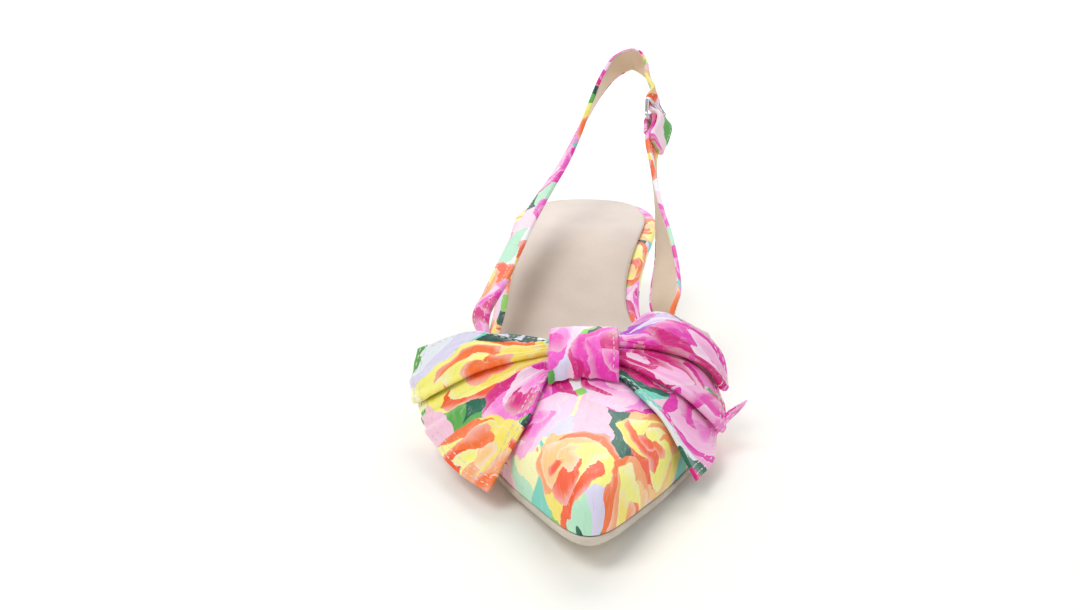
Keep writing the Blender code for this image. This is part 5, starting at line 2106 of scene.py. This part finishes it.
    def band(self, thread: bpy.types.Material) -> None:
        """The band across the middle: a soft arch with its turned edges, sewn along the front.

        Args:
            thread: The thread's material.
        """
        width, front, back, thick, rise = self.knot
        columns, rows = self.BAND_GRID
        across = np.linspace(-width / 2, width / 2, columns)
        share = np.linspace(0, 1, rows)
        height = monotone([row[0] for row in self.BAND], [row[1] * rise for row in self.BAND], share)
        middle = self.last.throat - front + share * (front + back)
        x = np.broadcast_to(across[:, None], self.BAND_GRID)
        arch = self.BAND_ARCH * (1 - (2 * across / width) ** 2)
        arch = arch + self.BAND_ROUGHNESS * ripple(across * 240, 67, 4)
        distance = middle[None, :] + arch[:, None] * ((1 - share) ** 2)[None, :]
        soft = ripple(x * 260 + distance * 40, 61, 4) * 0.10 * MM * ease(height, 0, rise * 0.8)[None, :]
        lift = height[None, :] + self.last.gap
        grid = self.last.place(x, distance, self.last.top(x, distance) + lift + soft)
        square = normals_of(grid)
        square *= np.where(square[columns // 2, rows // 2, 2] < 0, -1, 1)
        turned = 2.6 * MM
        edge = np.minimum(width / 2 - np.abs(x), turned)
        half = thick / 2 - 0.12 * MM * ease(edge, 2.0 * MM, turned)
        half = (half * (0.6 + 0.4 * ease(edge, -0.1 * MM, 0.5 * MM)))[:, :, None]
        cloth = np.stack(np.broadcast_arrays(x, run_of(grid[columns // 2])[None, :]), axis=-1) + CLOTH_START
        top, bottom = grid + square * half, grid - square * half
        piece = sheet_between("bow_band", top, bottom, cloth, self.satins[2].material(), sharp=70)
        dress(piece, "printed_fabric", "bow_knot")
        row = self.inset(top + square * self.PROUD, self.BAND_SEAM, "front")[6:-6]
        dress(Stitching.sew("bow_band_stitches", [row], thread, *EVEN_STITCH), "printed_fabric")


@dataclass
class Studio:
    """The pale sweep, the soft light and the camera at the photograph's angle.

    Attributes:
        eye: The camera's place.
        yaw: Its turn to the left, in degrees below zero.
        pitch: How far it looks down, in degrees.
        lens: Its focal length, in millimetres.
        wall: Distance of the sweep's wall.
        bend: Radius of the bend at its foot.
        glow: Light that the far sweep gives off.
        lamps: Name, place, size, power and colour of each lamp.
        air: Colour and strength of the light from all round.
    """

    eye: tuple[float, float, float] = (0.0, -0.476, 0.138)
    yaw: float = -2.2
    pitch: float = 16.4
    lens: float = 40.0
    wall: float = 2.2
    bend: float = 0.9
    glow: Colour = (0.52, 0.54, 0.55)
    lamps: tuple[tuple, ...] = (
        ("key", (-0.5, -0.5, 0.95), 0.6, 5.0, (1.0, 0.99, 0.97)),
        ("fill", (0.8, -0.6, 0.7), 0.9, 1.7, (0.97, 0.99, 1.0)),
        ("back", (0.1, 0.9, 0.9), 0.9, 6.5, (1.0, 1.0, 1.0)),
    )
    air: tuple[Colour, float] = ((0.93, 0.97, 1.0), 0.46)

    def camera(self) -> None:
        """Places the camera."""
        data = bpy.data.cameras.new("camera")
        data.lens = self.lens
        data.sensor_width = 36.0
        data.clip_start = 0.01
        data.dof.use_dof = False
        made = link(bpy.data.objects.new("camera", data))
        yaw, pitch = math.radians(self.yaw), math.radians(self.pitch)
        forward = Vector((math.sin(yaw) * math.cos(pitch), math.cos(yaw) * math.cos(pitch), -math.sin(pitch)))
        made.rotation_mode = "QUATERNION"
        made.rotation_quaternion = forward.to_track_quat("-Z", "Y")
        made.location = self.eye
        bpy.context.scene.camera = made

    def lamp(self, name: str, place: Sequence[float], size: float, power: float, colour: Colour) -> None:
        """A soft square lamp that faces the shoe.

        Args:
            name: The lamp's name.
            place: Where it stands.
            size: Length of its sides.
            power: Its power in watts.
            colour: The light's colour.
        """
        data = bpy.data.lights.new(name, "AREA")
        data.shape = "SQUARE"
        data.size = size
        data.energy = power
        data.color = colour
        made = link(bpy.data.objects.new(name, data))
        made.location = place
        toward = Vector((0, -0.1, 0.02)) - Vector(place)
        made.rotation_euler = toward.to_track_quat("-Z", "Y").to_euler()

    def sweep(self) -> None:
        """The pale sheet that the shoe stands on, which curves up behind it."""
        turn = np.linspace(0, math.pi / 2, 13)
        depth = np.concatenate([[-3.0, -0.5, 0.5], self.wall + self.bend * (np.sin(turn) - 1), [self.wall]])
        height = np.concatenate([[0.0, 0.0, 0.0], self.bend * (1 - np.cos(turn)), [3.0]])
        points = [(x, y, z) for y, z in zip(depth, height) for x in (-4.0, 4.0)]
        faces = [(2 * i, 2 * i + 1, 2 * i + 3, 2 * i + 2) for i in range(len(depth) - 1)]
        mesh = bpy.data.meshes.new("sweep")
        mesh.from_pydata([tuple(map(float, point)) for point in points], [], faces)
        mesh.shade_smooth()
        finish, recipe = Recipe.material("pale_sweep")
        at = recipe.add("ShaderNodeTexCoord", {}, {}, "Object")
        _, y, _ = recipe.split(at)
        colour = recipe.mix(y.between(0.1, 1.2), tint(250, 247, 240), tint(247, 251, 254))
        light = recipe.mix(y.between(-0.1, 1.6), (0.03, 0.03, 0.03), self.glow)
        soft = recipe.noise(recipe.vector("SCALE", at, 30.0), 1.0, 3)
        feeds = {
            "Base Color": colour,
            "Roughness": 0.55 + soft * 0.1,
            "Specular IOR Level": 0.2,
            "Emission Color": light,
            "Emission Strength": 1.0,
        }
        recipe.surface(feeds)
        mesh.materials.append(finish)
        link(bpy.data.objects.new("sweep", mesh))

    def build(self) -> None:
        """Sets the scene round the shoe."""
        self.camera()
        self.sweep()
        world = bpy.data.worlds.new("bright_room")
        bpy.context.scene.world = world
        world.use_nodes = True
        backdrop = world.node_tree.nodes["Background"]
        colour, strength = self.air
        backdrop.inputs["Color"].default_value = (*colour, 1)
        backdrop.inputs["Strength"].default_value = strength
        for lamp in self.lamps:
            self.lamp(*lamp)
        bpy.context.scene.view_settings.view_transform = "Standard"
        log.info("studio: camera at %s", self.eye)


def main() -> None:
    """Builds the shoe's pieces in order and sets the scene."""
    logging.basicConfig(level=logging.INFO, format="%(message)s")
    last = Last()
    Sole().build()
    Vamp(last).build()
    Sling(last).build()
    Bow(last).build()
    Studio().build()


if __name__ == "__main__":
    main()
